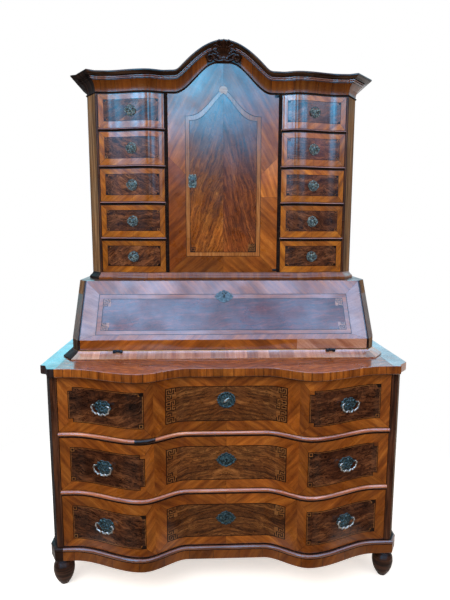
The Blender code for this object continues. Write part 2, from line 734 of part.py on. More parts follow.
def build_small_drawers():
    inner = COLUMN_INNER + RUNNING_GAP
    outer = COLUMN_OUTER - RUNNING_GAP
    back = INNER_BACK_Y - SMALL_DRAWER_BACK_SPACE
    plate = lobed_outline(PULL_PLATE_DIAMETER, PULL_PLATE_DIAMETER, PULL_PLATE_LOBES,
                          PULL_LOBE_SHARE, PULL_PLATE_STEPS)
    sizes = (PULL_BAIL_WIDTH, PULL_BAIL_DROP, PULL_BAIL_WIRE, PULL_POST_SPREAD, PULL_POST_RADIUS,
             PULL_POST_LENGTH - PULL_POST_RADIUS, PULL_RISE)
    wall = SMALL_SIDE_THICKNESS
    for side, sign in SIDES:
        xs = [sign * x for x in spread(inner, outer, COLUMN_STEPS)]
        line = [(sign * inner, back)] + [(x, small_front_y(x)) for x in xs] + [(sign * outer, back)]
        inner_xs = [sign * x for x in spread(inner + wall, outer - wall, COLUMN_STEPS)]
        hollow = [(sign * (inner + wall), back - wall)]
        hollow += [(x, small_front_y(x) + SMALL_FRONT_THICKNESS) for x in inner_xs]
        hollow += [(sign * (outer - wall), back - wall)]
        for number in range(1, SMALL_DRAWERS + 1):
            name = "small_drawer_" + side + "_" + str(number)
            low = CASE_TOP - (number - 1) * SMALL_PITCH - SMALL_FRONT_HEIGHT + FIT
            high = low + SMALL_FRONT_HEIGHT - RUNNING_GAP
            floor = low + SMALL_BOTTOM_THICKNESS
            drawer = finish(name, tray_mesh(name, line, hollow, low, floor, high), BURR)
            set_origin(drawer, (0, STILE_Y, low))
            x = sign * (COLUMN_INNER + COLUMN_OUTER) / 2
            frame = handle_frame(x, small_front_y(x), (low + high) / 2, column_swell)
            add_plate(drawer, name + "_plate", plate, PULL_PLATE_THICKNESS, OVERRUN, frame)
            add_posts(drawer, name, PULL_POST_SPREAD, PULL_POST_RADIUS, PULL_POST_LENGTH, PULL_RISE,
                      frame)
            build_bail("small_bail_" + side + "_" + str(number), BRASS, drawer, frame, sizes)


# Desk section
SLOPE = math.atan2(SLOPE_RISE, SLOPE_RUN)
LID_TOP_DEPTH = LID_THICKNESS / math.sin(SLOPE)
DESK_TOP_FRONT_Y = LID_TOP_Y + LID_TOP_DEPTH + RUNNING_GAP


def lid_line_y(z):
    """The desk's front line: upright up to the knee, then sloping back."""
    return LID_Y + max(z - KNEE, 0.0) / math.tan(SLOPE)


def build_desk_sides():
    for side, sign in SIDES:
        inner = LID_HALF + RUNNING_GAP
        front_half = DESK_HALF - DESK_CANT_WIDTH
        sections = []
        for x, setback in ((inner, 0), (front_half, 0), (DESK_HALF, DESK_CANT_DEPTH)):
            base = TOP_HEIGHT + FIT
            front = [(lid_line_y(z) + setback, z) for z in (base, KNEE, DESK_HEIGHT)]
            line = [(INNER_BACK_Y, base)] + front + [(INNER_BACK_Y, DESK_HEIGHT)]
            sections.append([(sign * x, y, z) for y, z in line])
        name = "desk_side_" + side
        finish(name, loft_mesh(name, sections), DARK_WOOD)


def build_desk_back():
    low = (-DESK_HALF, INNER_BACK_Y + FIT, TOP_HEIGHT + FIT)
    finish("desk_back", box_mesh("desk_back", low, (DESK_HALF, BACK_Y, DESK_HEIGHT)), CARCASS)


def build_desk_bed():
    half = LID_HALF + RUNNING_GAP - FIT
    low = (-half, LID_Y, TOP_HEIGHT + FIT)
    high = (half, INNER_BACK_Y, LID_BOTTOM - BED_GAP)
    finish("desk_bed", box_mesh("desk_bed", low, high), CARCASS)


def build_desk_top():
    half = LID_HALF + RUNNING_GAP - FIT
    low = (-half, DESK_TOP_FRONT_Y, DESK_HEIGHT - DESK_TOP_THICKNESS)
    finish("desk_top", box_mesh("desk_top", low, (half, INNER_BACK_Y, DESK_HEIGHT)), CARCASS)


def hinge_mesh(name, radius, low_x, high_x):
    place = Matrix.Translation((0, LID_Y - LID_HINGE_OFFSET, LID_BOTTOM))
    return cylinder_mesh(name, radius, low_x, high_x, place @ Matrix.Rotation(math.pi / 2, 4, "Y"))


def build_desk_moulding():
    """The moulding round the desk's foot, with the fixed knuckles of the lid's hinges."""
    top = (LEDGE_HEIGHT - BED_GAP) / LEDGE_HEIGHT
    fillet = LEDGE_FILLET / LEDGE_HEIGHT
    profile = [(FIT, 0.0), (LEDGE_PROUD, 0.0), (LEDGE_PROUD, fillet)]
    profile += [(LEDGE_PROUD * proud, fillet + (top - fillet) * level)
                for proud, level in LEDGE_CURVE_SHARES]
    profile += [(LID_HINGE_SEAT, top), (FIT, top)]
    mesh = moulding_mesh("desk_moulding", desk_plan(BACK_Y), profile, constant(TOP_HEIGHT + FIT),
                         constant(LID_BOTTOM))
    moulding = finish("desk_moulding", mesh, BANDING)
    shade_round(moulding)
    third = LID_HINGE_LENGTH / 3
    for side, sign in SIDES:
        middle = sign * LID_HINGE_REACH
        for end, shift in (("inner", -third), ("outer", third)):
            name = "fixed_knuckle_" + side + "_" + end
            low_x = middle + shift - third / 2
            high_x = low_x + third
            knuckle = cutter(name, hinge_mesh(name, LID_HINGE_RADIUS, low_x, high_x))
            combine(moulding, "UNION", knuckle)
            axis_y = LID_Y - LID_HINGE_OFFSET
            low = (low_x + LID_HINGE_TAB_INSET, axis_y - LID_HINGE_TAB / 2, TOP_HEIGHT + LEDGE_FILLET)
            high = (high_x - LID_HINGE_TAB_INSET, axis_y + LID_HINGE_TAB / 2, LID_BOTTOM)
            tab = cutter(name + "_tab", box_mesh(name + "_tab", low, high))
            combine(moulding, "UNION", tab)


def lid_frame(drop):
    """A place on the lid's outer slope, this far below its top edge: local Z points out."""
    y = LID_TOP_Y - drop * math.cos(SLOPE)
    z = DESK_HEIGHT - drop * math.sin(SLOPE)
    return Matrix.Translation((0, y, z)) @ Matrix.Rotation(SLOPE, 4, "X")


def door_frame(x, z):
    return Matrix.Translation((x, DOOR_Y, z)) @ Matrix.Rotation(math.pi / 2, 4, "X")


def shield_outline(width, height):
    return lobed_outline(width, height, ESCUTCHEON_LOBES, ESCUTCHEON_LOBE_SHARE, PLATE_STEPS)


def add_lock(carrier, name, outline, frame):
    """An escutcheon on a leaf, and the bore that the key stands in."""
    add_plate(carrier, name + "_escutcheon", outline, ESCUTCHEON_THICKNESS, OVERRUN, frame)
    bore = cylinder_mesh(name + "_bore", KEY_RADIUS + PIN_PLAY, -KEY_DEPTH - FIT, KEY_DEPTH, frame)
    combine(carrier, "DIFFERENCE", cutter(name + "_bore", bore))


def build_key(name, carrier, frame):
    """A key standing in its lock: a shank with a ring bow. Local Z is its axis."""
    turn = frame.to_3x3().to_4x4()
    shank = cylinder_mesh(name, KEY_RADIUS, -KEY_DEPTH, KEY_LENGTH, turn)
    key = finish(name, shank, IRON)
    major = KEY_BOW_RADIUS - KEY_BOW_WIRE
    ring = []
    for angle in spread(0, 2 * math.pi, 2 * ROUND_SIDES)[:-1]:
        centre = Vector((major * math.cos(angle), 0, major * math.sin(angle)))
        along = centre.normalized()
        section = []
        for turn_angle in spread(0, 2 * math.pi, ROUND_SIDES // 2)[:-1]:
            lift = Vector((0, KEY_BOW_WIRE * math.sin(turn_angle), 0))
            section.append(centre + along * KEY_BOW_WIRE * math.cos(turn_angle) + lift)
        ring.append(section)
    bow_mesh = loft_mesh(name + "_bow", ring, closed=True)
    bow_mesh.transform(turn @ Matrix.Translation((0, 0, KEY_LENGTH + major - KEY_BOW_WIRE)))
    bow = cutter(name + "_bow", bow_mesh)
    place = frame.to_translation()
    bow.location = place
    key.parent = carrier
    key.location = place - carrier.location
    combine(key, "UNION", bow)
    shade_round(key)
    return key


def build_lid():
    half = LID_HALF
    inner_y = LID_Y + LID_THICKNESS
    inner_knee = DESK_HEIGHT - (LID_TOP_Y + LID_TOP_DEPTH - inner_y) * math.tan(SLOPE)
    outline = [(LID_Y, LID_BOTTOM), (LID_Y, KNEE), (LID_TOP_Y, DESK_HEIGHT),
               (LID_TOP_Y + LID_TOP_DEPTH, DESK_HEIGHT), (inner_y, inner_knee), (inner_y, LID_BOTTOM)]
    # The outline is drawn in Y and Z, so X, Y and Z trade places.
    turn = Matrix(((0, 0, 1, 0), (1, 0, 0, 0), (0, 1, 0, 0), (0, 0, 0, 1)))
    lid = finish("fall_lid", outline_mesh("fall_lid", outline, -half, half, turn), BURR)
    set_origin(lid, (0, LID_Y - LID_HINGE_OFFSET, LID_BOTTOM))
    third = LID_HINGE_LENGTH / 3
    for side, sign in SIDES:
        name = "lid_knuckle_" + side
        low_x = sign * LID_HINGE_REACH - third / 2 + FIT
        high_x = low_x + third - 2 * FIT
        combine(lid, "UNION", cutter(name, hinge_mesh(name, LID_HINGE_RADIUS, low_x, high_x)))
        low = (low_x + LID_HINGE_TAB_INSET, LID_Y - LID_HINGE_OFFSET, LID_BOTTOM + LID_HINGE_TAB_INSET)
        high = (high_x - LID_HINGE_TAB_INSET, LID_Y + OVERRUN, LID_BOTTOM + LID_HINGE_TAB)
        combine(lid, "UNION", cutter(name + "_leaf", box_mesh(name + "_leaf", low, high)))
    frame = lid_frame(LID_KEY_DROP)
    add_lock(lid, "fall", shield_outline(HANDLE_PLATE_WIDTH, HANDLE_PLATE_HEIGHT), frame)
    build_key("fall_key", lid, frame)


# Upper cabinet
def build_upper_base():
    plan = upper_plan(BACK_Y, 0)
    levels = [(UPPER_BASE_PROUD * proud, DESK_HEIGHT + FIT + (UPPER_BASE_HEIGHT - FIT) * level)
              for proud, level in UPPER_BASE_SHARES]
    base = finish("cabinet_base", board_mesh("cabinet_base", plan, levels), BANDING)
    shade_round(base)
    socket = pivot_mesh("lower_socket", DOOR_BOTTOM - PIVOT_LENGTH, DOOR_BOTTOM + OVERRUN, PIN_PLAY)
    combine(base, "DIFFERENCE", cutter("lower_socket", socket))


def build_upper_sides():
    for side, sign in SIDES:
        inner = COLUMN_OUTER
        outline = [(inner, INNER_BACK_Y), (UPPER_HALF, INNER_BACK_Y),
                   (UPPER_HALF, STILE_Y + UPPER_CANT_DEPTH),
                   (UPPER_HALF - UPPER_CANT_WIDTH, STILE_Y), (inner, STILE_Y)]
        outline = [(sign * x, y) for x, y in outline]
        name = "cabinet_side_" + side
        finish(name, outline_mesh(name, outline, DOOR_BOTTOM + FIT, CASE_TOP), DARK_WOOD)


def build_upper_back():
    low = (-UPPER_HALF, INNER_BACK_Y + FIT, DOOR_BOTTOM + FIT)
    finish("cabinet_back", box_mesh("cabinet_back", low, (UPPER_HALF, BACK_Y, CASE_TOP)), CARCASS)


def build_drawer_nests():
    """A partition with four lipped dust boards for each column of small drawers."""
    for side, sign in SIDES:
        name = "drawer_nest_" + side
        xs = sorted((sign * (DOOR_HALF + DOOR_GAP), sign * COLUMN_INNER))
        low = (xs[0], DOOR_Y, DOOR_BOTTOM + FIT)
        nest = finish(name, box_mesh(name, low, (xs[1], INNER_BACK_Y, CASE_TOP)), BANDING)
        for number in range(1, SMALL_DRAWERS):
            base = CASE_TOP - number * SMALL_PITCH
            board_xs = [sign * x for x in spread(COLUMN_INNER, COLUMN_OUTER - FIT, COLUMN_STEPS)]
            board_xs[0] = sign * (COLUMN_INNER - OVERRUN)
            label = name + "_board_" + str(number)
            mesh = rail_mesh(label, board_xs, small_front_y, INNER_BACK_Y - OVERRUN, base,
                             base + SMALL_BEAD_HEIGHT, SMALL_BEAD_PROUD)
            combine(nest, "UNION", cutter(label, mesh))


def build_upper_top():
    """The ceiling board inside the cornice, with the panel behind the door's arch."""
    front = STILE_Y + CORNICE_WALL + FIT
    half = cant_start(UPPER_HALF - CORNICE_WALL - FIT, UPPER_CANT_WIDTH, UPPER_CANT_DEPTH, front, BACK_Y)
    mesh = outline_mesh("cabinet_top", mirrored(half), CASE_TOP + FIT, CASE_TOP + UPPER_TOP_THICKNESS)
    ceiling = finish("cabinet_top", mesh, CARCASS)
    xs = spread(-BELL_HALF_WIDTH, BELL_HALF_WIDTH, ARCH_STEPS)
    line = [(x, CASE_TOP + UPPER_TOP_THICKNESS / 2 + bell(x)) for x in xs]
    line = [(-BELL_HALF_WIDTH, CASE_TOP + FIT)] + line + [(BELL_HALF_WIDTH, CASE_TOP + FIT)]
    panel = outline_mesh("arch_panel", line, -front - PARTITION_THICKNESS, -front,
                         Matrix.Rotation(math.pi / 2, 4, "X"))
    combine(ceiling, "UNION", cutter("arch_panel", panel))


def cornice_low(x):
    return CASE_TOP + FIT + bell(x)


def cornice_high(x):
    return CASE_TOP + CORNICE_HEIGHT + arch(x)


def cornice_reach(x):
    """How proud the cornice stands: least over the front, more round the canted corners."""
    if abs(x) <= COLUMN_OUTER:
        return CORNICE_PROUD
    return CORNICE_CORNER_PROUD if abs(x) < UPPER_HALF else CORNICE_SIDE_PROUD


def build_cornice():
    mesh = moulding_mesh("cornice", upper_plan(BACK_Y, ARCH_STEPS), CORNICE_PROFILE_SHARES, cornice_low,
                         cornice_high, upper_plan(BACK_Y, ARCH_STEPS, CORNICE_WALL), cornice_reach)
    cornice = finish("cornice", mesh, BANDING)
    shade_round(cornice)
    socket = pivot_mesh("upper_socket", CASE_TOP - OVERRUN, CASE_TOP + PIVOT_LENGTH, PIN_PLAY)
    combine(cornice, "DIFFERENCE", cutter("upper_socket", socket))


def build_crest():
    """The carved shell on the arch: a fluted swelling that follows the cornice's own profile."""
    step = 2 * ARCH_HALF_WIDTH / ARCH_STEPS
    profile = CORNICE_PROFILE_SHARES[1:]
    sections = []
    for place in range(-CREST_STEPS, CREST_STEPS + 1):
        x = place * step
        low = cornice_low(x)
        height = cornice_high(x) - low
        back = [(DOOR_Y - 2 * FIT - CORNICE_PROUD * proud, low + height * level) for proud, level in profile]
        front = []
        for (y, z), share in zip(back[::2], CREST_HEIGHT_SHARES):
            relief = CREST_RELIEF * share * CREST_WIDTH_SHARES[abs(place)]
            front.append((y - CREST_EDGE - relief, z))
        sections.append([(x, y, z) for y, z in back + front[::-1]])
    finish("crest_carving", loft_mesh("crest_carving", sections), CARVED)


def pivot_mesh(name, low, high, play=0):
    place = Matrix.Translation((DOOR_HALF - PIVOT_INSET, DOOR_Y + PIVOT_SETBACK, 0))
    return cylinder_mesh(name, PIVOT_RADIUS + play, low, high, place)


def build_door():
    low = DOOR_BOTTOM + FIT
    xs = spread(-BELL_HALF_WIDTH, BELL_HALF_WIDTH, ARCH_STEPS)
    line = [(-DOOR_HALF, low), (-DOOR_HALF, CASE_TOP - DOOR_GAP)]
    line += [(x, CASE_TOP - DOOR_GAP + bell(x)) for x in xs]
    line += [(DOOR_HALF, CASE_TOP - DOOR_GAP), (DOOR_HALF, low)]
    turn = Matrix.Rotation(math.pi / 2, 4, "X")
    mesh = outline_mesh("door", line, -DOOR_Y - DOOR_THICKNESS, -DOOR_Y, turn)
    door = finish("door", mesh, BURR)
    set_origin(door, (DOOR_HALF - PIVOT_INSET, DOOR_Y + PIVOT_SETBACK, DOOR_BOTTOM))
    for name, start, end in (("lower_pivot", DOOR_BOTTOM - PIVOT_LENGTH + FIT, low + OVERRUN),
                             ("upper_pivot", CASE_TOP - DOOR_GAP - OVERRUN, CASE_TOP + PIVOT_LENGTH - FIT)):
        combine(door, "UNION", cutter(name, pivot_mesh(name, start, end)))
    frame = door_frame(-DOOR_HALF + DOOR_KEY_INSET, DOOR_BOTTOM + DOOR_KEY_HEIGHT)
    add_lock(door, "door", shield_outline(PULL_PLATE_DIAMETER, HANDLE_PLATE_WIDTH), frame)
    build_key("door_key", door, frame)


build_commode_top()
build_commode_sides()
build_commode_back()
build_plinth()
build_base_board()
build_dust_boards()
build_feet()
build_long_drawers()
build_desk_sides()
build_desk_back()
build_desk_bed()
build_desk_top()
build_desk_moulding()
build_lid()
build_upper_base()
build_upper_sides()
build_upper_back()
build_drawer_nests()
build_small_drawers()
build_upper_top()
build_cornice()
build_crest()
build_door()
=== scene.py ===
"""A baroque bureau cabinet in veneered walnut: its looks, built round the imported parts.

Everything is in metres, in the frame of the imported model: X to the right, -Y to the front, Z up.
"""
import math
import random

import bpy
from mathutils import Matrix, Vector
from mathutils.geometry import delaunay_2d_cdt


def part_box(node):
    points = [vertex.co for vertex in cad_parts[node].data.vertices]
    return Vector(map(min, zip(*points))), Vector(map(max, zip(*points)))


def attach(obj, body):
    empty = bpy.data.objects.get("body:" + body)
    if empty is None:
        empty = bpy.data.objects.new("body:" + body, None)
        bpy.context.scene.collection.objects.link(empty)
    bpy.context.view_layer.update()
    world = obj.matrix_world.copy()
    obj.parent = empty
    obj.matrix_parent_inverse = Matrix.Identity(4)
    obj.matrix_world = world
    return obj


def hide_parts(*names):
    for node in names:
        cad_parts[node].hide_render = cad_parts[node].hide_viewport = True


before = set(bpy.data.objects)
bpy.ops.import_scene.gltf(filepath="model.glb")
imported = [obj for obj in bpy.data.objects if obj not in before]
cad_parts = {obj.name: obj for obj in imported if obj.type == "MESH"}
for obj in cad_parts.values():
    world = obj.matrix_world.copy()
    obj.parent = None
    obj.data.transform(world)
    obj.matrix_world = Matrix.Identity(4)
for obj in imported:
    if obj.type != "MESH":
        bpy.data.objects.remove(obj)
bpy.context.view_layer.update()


def low(node):
    return Vector(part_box(node)[0])


def high(node):
    return Vector(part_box(node)[1])


SIDES = (("left", -1), ("right", 1))
SIGNS = (-1, 1)
LONG_DRAWERS = range(1, 4)
SMALL_DRAWERS = range(1, 6)

# Levels, planes and half widths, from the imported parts
PLINTH_LOW = low("plinth").z
PLINTH_TOP = high("plinth").z
COMMODE_HEIGHT = high("commode_side_left").z
TOP_HEIGHT = high("commode_top").z
LID_BOTTOM = low("fall_lid").z
DESK_HEIGHT = high("desk_top").z
DOOR_BOTTOM = high("cabinet_base").z
CASE_TOP = high("cabinet_side_left").z
BACK_Y = high("commode_back").y
INNER_BACK_Y = high("commode_side_left").y
BODY_END_Y = low("commode_side_left").y
STILE_Y = low("cabinet_side_left").y
BODY_HALF = high("commode_side_right").x
LONG_HALF = high("upper_dust_board").x
DESK_HALF = high("desk_back").x
LID_HALF = high("fall_lid").x
UPPER_HALF = high("cabinet_back").x
DOOR_HALF = high("door").x

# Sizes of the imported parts
FIT = 0.0003
BULGE = 0.0725
TOP_OVERHANG_FRONT = 0.024
TOP_OVERHANG_SIDE = 0.018
BODY_CANT = (0.020, 0.034)
BEAD_PROUD = 0.0065
LONG_FRONT_THICKNESS = 0.024
LONG_WALL = 0.013
LONG_FLOOR = 0.010
PLINTH_BAND_HEIGHT = 0.034
PLINTH_PROUD = 0.012
PLINTH_RAIL_WIDTH = 0.046
DESK_CANT = (0.028, 0.040)
LEDGE_PROUD = 0.034
KNEE_HEIGHT = 0.040
SLOPE_RUN = 0.1417
LID_SETBACK = 0.144
LID_THICKNESS = 0.020
HINGE_REACH = 0.396
HINGE_LENGTH = 0.036
HINGE_RADIUS = 0.0045
HINGE_OFFSET = 0.0055
UPPER_CANT = (0.044, 0.058)
UPPER_STILE = 0.0063
UPPER_BASE_PROUD = 0.013
COLUMN_BULGE = 0.030
PARTITION = 0.010
DOOR_GAP = 0.0015
DOOR_THICKNESS = 0.020
DOOR_Y = high("door").y - DOOR_THICKNESS
SMALL_FRONT_THICKNESS = 0.014
SMALL_WALL = 0.008
SMALL_FLOOR = 0.006
SMALL_BEAD_HEIGHT = 0.010
SMALL_BEAD_PROUD = 0.005
SMALL_PITCH = 0.1402
CORNICE_HEIGHT = 0.075
CORNICE_PROUD = 0.030
CORNICE_CORNER_PROUD = 0.046
CORNICE_SIDE_PROUD = 0.058
CORNICE_WALL = 0.022
BELL_HALF_WIDTH = 0.190
BELL_RISE = 0.112
ARCH_HALF_WIDTH = 0.176
ARCH_RISE = 0.112
ARCH_FOOT = 0.012
CREST_HALF_WIDTH = 0.072
HANDLE_REACH = 0.425
HANDLE_PLATE = (0.066, 0.058, 0.0020)
HANDLE_POST = (0.046, 0.0042, 0.019)
HANDLE_BAIL = (0.070, 0.034, 0.0027)
HANDLE_RISE = 0.012
PULL_PLATE = (0.044, 0.044, 0.0015)
PULL_POST = (0.024, 0.0026, 0.013)
PULL_BAIL = (0.038, 0.021, 0.0016)
PULL_RISE = 0.006
KEY_RADIUS = 0.0022
KEY_LENGTH = 0.024
KEY_DEPTH = 0.012
KEY_BOW_RADIUS = 0.0085
KEY_BOW_WIRE = 0.0019
DOOR_KEY_INSET = 0.095
DOOR_KEY_HEIGHT = 0.361
LID_KEY_DROP = 0.070
PLATE_THICKNESS = 0.0015

COLUMN_INNER = DOOR_HALF + DOOR_GAP + PARTITION
COLUMN_OUTER = UPPER_HALF - UPPER_CANT[0] - UPPER_STILE
LID_Y = BODY_END_Y - TOP_OVERHANG_FRONT + LID_SETBACK
LID_TOP_Y = LID_Y + SLOPE_RUN
KNEE = LID_BOTTOM + KNEE_HEIGHT
SLOPE_RISE = DESK_HEIGHT - KNEE
SLOPE = math.atan2(SLOPE_RISE, SLOPE_RUN)
SLOPE_LENGTH = math.hypot(SLOPE_RISE, SLOPE_RUN)

# Shares that shape the curves
SERPENTINE_CENTRE = 0.10
SERPENTINE_RISE = (0.235, 0.50)
SERPENTINE_FALL = (0.50, 0.93)
COLUMN_START = 0.50
COLUMN_RISE = (0.0, 0.24)
COLUMN_FALL = (0.24, 0.86)
BELL_FLAT = 0.12
ARCH_ROUNDNESS = 1.85
BAIL_SHARES = ((1.0, 0.12), (0.97, 0.42), (0.82, 0.70), (0.52, 0.86), (0.24, 0.84), (0.0, 1.0))

# Steps of the curves
LONG_STEPS = 150
SMALL_STEPS = 36
ARCH_STEPS = 72
LEDGE_STEPS = 40
BEAD_STEPS = 10
ROUND_STEPS = 32

# Widths of eased edges, stringing and seams, thickness of thin veneer, and how near points are one
EDGE = 0.0008
STRING = 0.0028
SEAM = 0.0006
SHEET = 0.0004
WELD = 1e-6
SMOOTH_ANGLE = math.radians(32)
GRAIN = "grain"
TONE = "tone"

dice = random.Random(7)


# Curves of the fronts
def smooth_step(start, end, value):
    share = min(max((value - start) / (end - start), 0), 1)
    return share * share * (3 - 2 * share)


def serpentine(x):
    share = min(abs(x) / LONG_HALF, 1)
    if share < SERPENTINE_RISE[1]:
        rise = smooth_step(*SERPENTINE_RISE, share)
        return BULGE * (SERPENTINE_CENTRE + (1 - SERPENTINE_CENTRE) * rise)
    return BULGE * (1 - smooth_step(*SERPENTINE_FALL, share))


def column_swell(x):
    share = (abs(x) - COLUMN_INNER) / (COLUMN_OUTER - COLUMN_INNER)
    if share < COLUMN_RISE[1]:
        return COLUMN_BULGE * (COLUMN_START + (1 - COLUMN_START) * smooth_step(*COLUMN_RISE, share))
    return COLUMN_BULGE * (1 - smooth_step(*COLUMN_FALL, share))


def long_front_y(x):
    return BODY_END_Y - serpentine(x)


def small_front_y(x):
    return STILE_Y - column_swell(x)


def slope_of(curve, x):
    reach = STRING
    return math.atan((curve(x + reach) - curve(x - reach)) / (2 * reach))


def bell(x):
    share = max(min(abs(x) / BELL_HALF_WIDTH, 1) - BELL_FLAT, 0) / (1 - BELL_FLAT)
    return BELL_RISE * (1 + math.cos(math.pi * share)) / 2


def arch(x):
    rise = ARCH_RISE * (1 - (abs(x) / ARCH_HALF_WIDTH) ** ARCH_ROUNDNESS)
    return (rise + math.hypot(rise, ARCH_FOOT)) / 2


def spread(start, end, steps):
    return [start + (end - start) * index / steps for index in range(steps + 1)]


def ring(radius, steps, middle=(0, 0)):
    """Points evenly round a circle."""
    return [(middle[0] + radius * math.cos(a), middle[1] + radius * math.sin(a))
            for a in spread(0, 2 * math.pi, steps)[:-1]]


# Materials. Colours are written as 0 to 255, scales as waves a metre
def srgb(red, green, blue):
    """The linear colour that shaders want."""
    values = [value / 255 for value in (red, green, blue)]
    return tuple(v / 12.92 if v <= 0.04045 else ((v + 0.055) / 1.055) ** 2.4 for v in values) + (1.0,)


def graded(stops):
    return [(place, srgb(*colour)) for place, colour in stops]


class Surface:
    """A material whose nodes are added one by one: a socket is linked, any other value is set."""

    def __init__(self, name):
        self.material = bpy.data.materials.new(name)
        self.material.use_nodes = True
        self.tree = self.material.node_tree
        self.shader = self.tree.nodes["Principled BSDF"]

    def put(self, socket, value):
        if isinstance(value, bpy.types.NodeSocket):
            self.tree.links.new(value, socket)
        else:
            socket.default_value = value

    def add(self, kind, inputs=(), **settings):
        node = self.tree.nodes.new("ShaderNode" + kind)
        for key, value in settings.items():
            setattr(node, key, value)
        for key, value in dict(inputs).items():
            self.put(node.inputs[key], value)
        return node

    def set(self, **values):
        for key, value in values.items():
            self.put(self.shader.inputs[key.replace("_", " ")], value)

    def scaled(self, vector, scale):
        return self.add("VectorMath", {0: vector, 1: scale}, operation="MULTIPLY").outputs[0]

    def shifted(self, vector, other):
        return self.add("VectorMath", {0: vector, 1: other}, operation="ADD").outputs[0]

    def math(self, operation, first, second=0.0):
        return self.add("Math", {0: first, 1: second}, operation=operation).outputs[0]

    def noise(self, vector, scale, detail=4, roughness=0.55, distortion=0.0, output="Fac"):
        """Noise of one scale, or of three where it is drawn out along the grain."""
        scale = scale if isinstance(scale, tuple) else (scale,) * 3
        inputs = {"Vector": self.scaled(vector, scale), "Scale": 1.0, "Detail": detail,
                  "Roughness": roughness, "Distortion": distortion}
        return self.add("TexNoise", inputs).outputs[output]

    def ramp(self, factor, stops):
        node = self.add("ValToRGB", {"Fac": factor})
        marks = node.color_ramp.elements
        marks[0].position, marks[0].color = stops[0]
        marks[1].position, marks[1].color = stops[-1]
        for place, colour in stops[1:-1]:
            marks.new(place).color = colour
        return node.outputs["Color"]

    def mix(self, factor, first, second, blend="MIX"):
        node = self.add("Mix", {0: factor, 6: first, 7: second}, data_type="RGBA", blend_type=blend)
        return node.outputs[2]

    def shaded(self, colour, shade, share=1.0):
        """A colour multiplied by a shade, or only by a share of it."""
        return self.mix(share, colour, shade, "MULTIPLY")

    def spread_to(self, factor, start, end, low_value=0.0, high_value=1.0):
        """A factor's range from start to end, as a range of other values."""
        inputs = {"Value": factor, "From Min": start, "From Max": end, "To Min": low_value,
                  "To Max": high_value}
        return self.add("MapRange", inputs).outputs["Result"]

    def place(self, axis=None):
        """Where a point is, X along the grain: from the piece's own layout, or from space."""
        if axis is None:
            return self.add("UVMap", uv_map=GRAIN).outputs["UV"]
        space = self.add("TexCoord").outputs["Object"]
        if axis == "X":
            return space
        parts = self.add("SeparateXYZ", {0: space}).outputs
        order = {"Y": ("Y", "X", "Z"), "Z": ("Z", "X", "Y")}[axis]
        return self.add("CombineXYZ", {index: parts[key] for index, key in enumerate(order)}).outputs[0]

    def bump(self, height, strength, distance):
        inputs = {"Height": height, "Strength": strength, "Distance": distance}
        return self.add("Bump", inputs).outputs["Normal"]


WHITE = (1.0, 1.0, 1.0, 1.0)
WEAR_SPAN = (0.3, 0.7)
# How all varnished woods are drawn
NOISE_MIDDLE = 0.5
FIGURE_ROUGHNESS = 0.58
CURL_DISTORTION = 1.8
VEIN_ROUGHNESS = 0.60
VEIN_DISTORTION = 1.2
BROAD_SWING = (-0.26, 0.26)
VEIN_MIX = 0.9
WARMTH_SCALE = 11.0
WARMTH_MIX = 0.6
WARMTH = ((0.35, (255, 232, 200)), (0.65, (240, 236, 226)))
PORE_SCALES = (90.0, 1300.0, 1300.0)
PORE_MIX = 0.7
PORES = ((0.30, (170, 160, 150)), (0.42, (255, 255, 255)))
WEAR_SCALE = 14.0
POLISH_SCALE = 6.0
POLISH_SPAN = (0.38, 0.60)
WORN_POLISH = 0.55
COAT_ROUGH = (0.05, 0.16)
COAT_IOR = 1.7
GRAIN_RELIEF = (0.12, 0.0004)


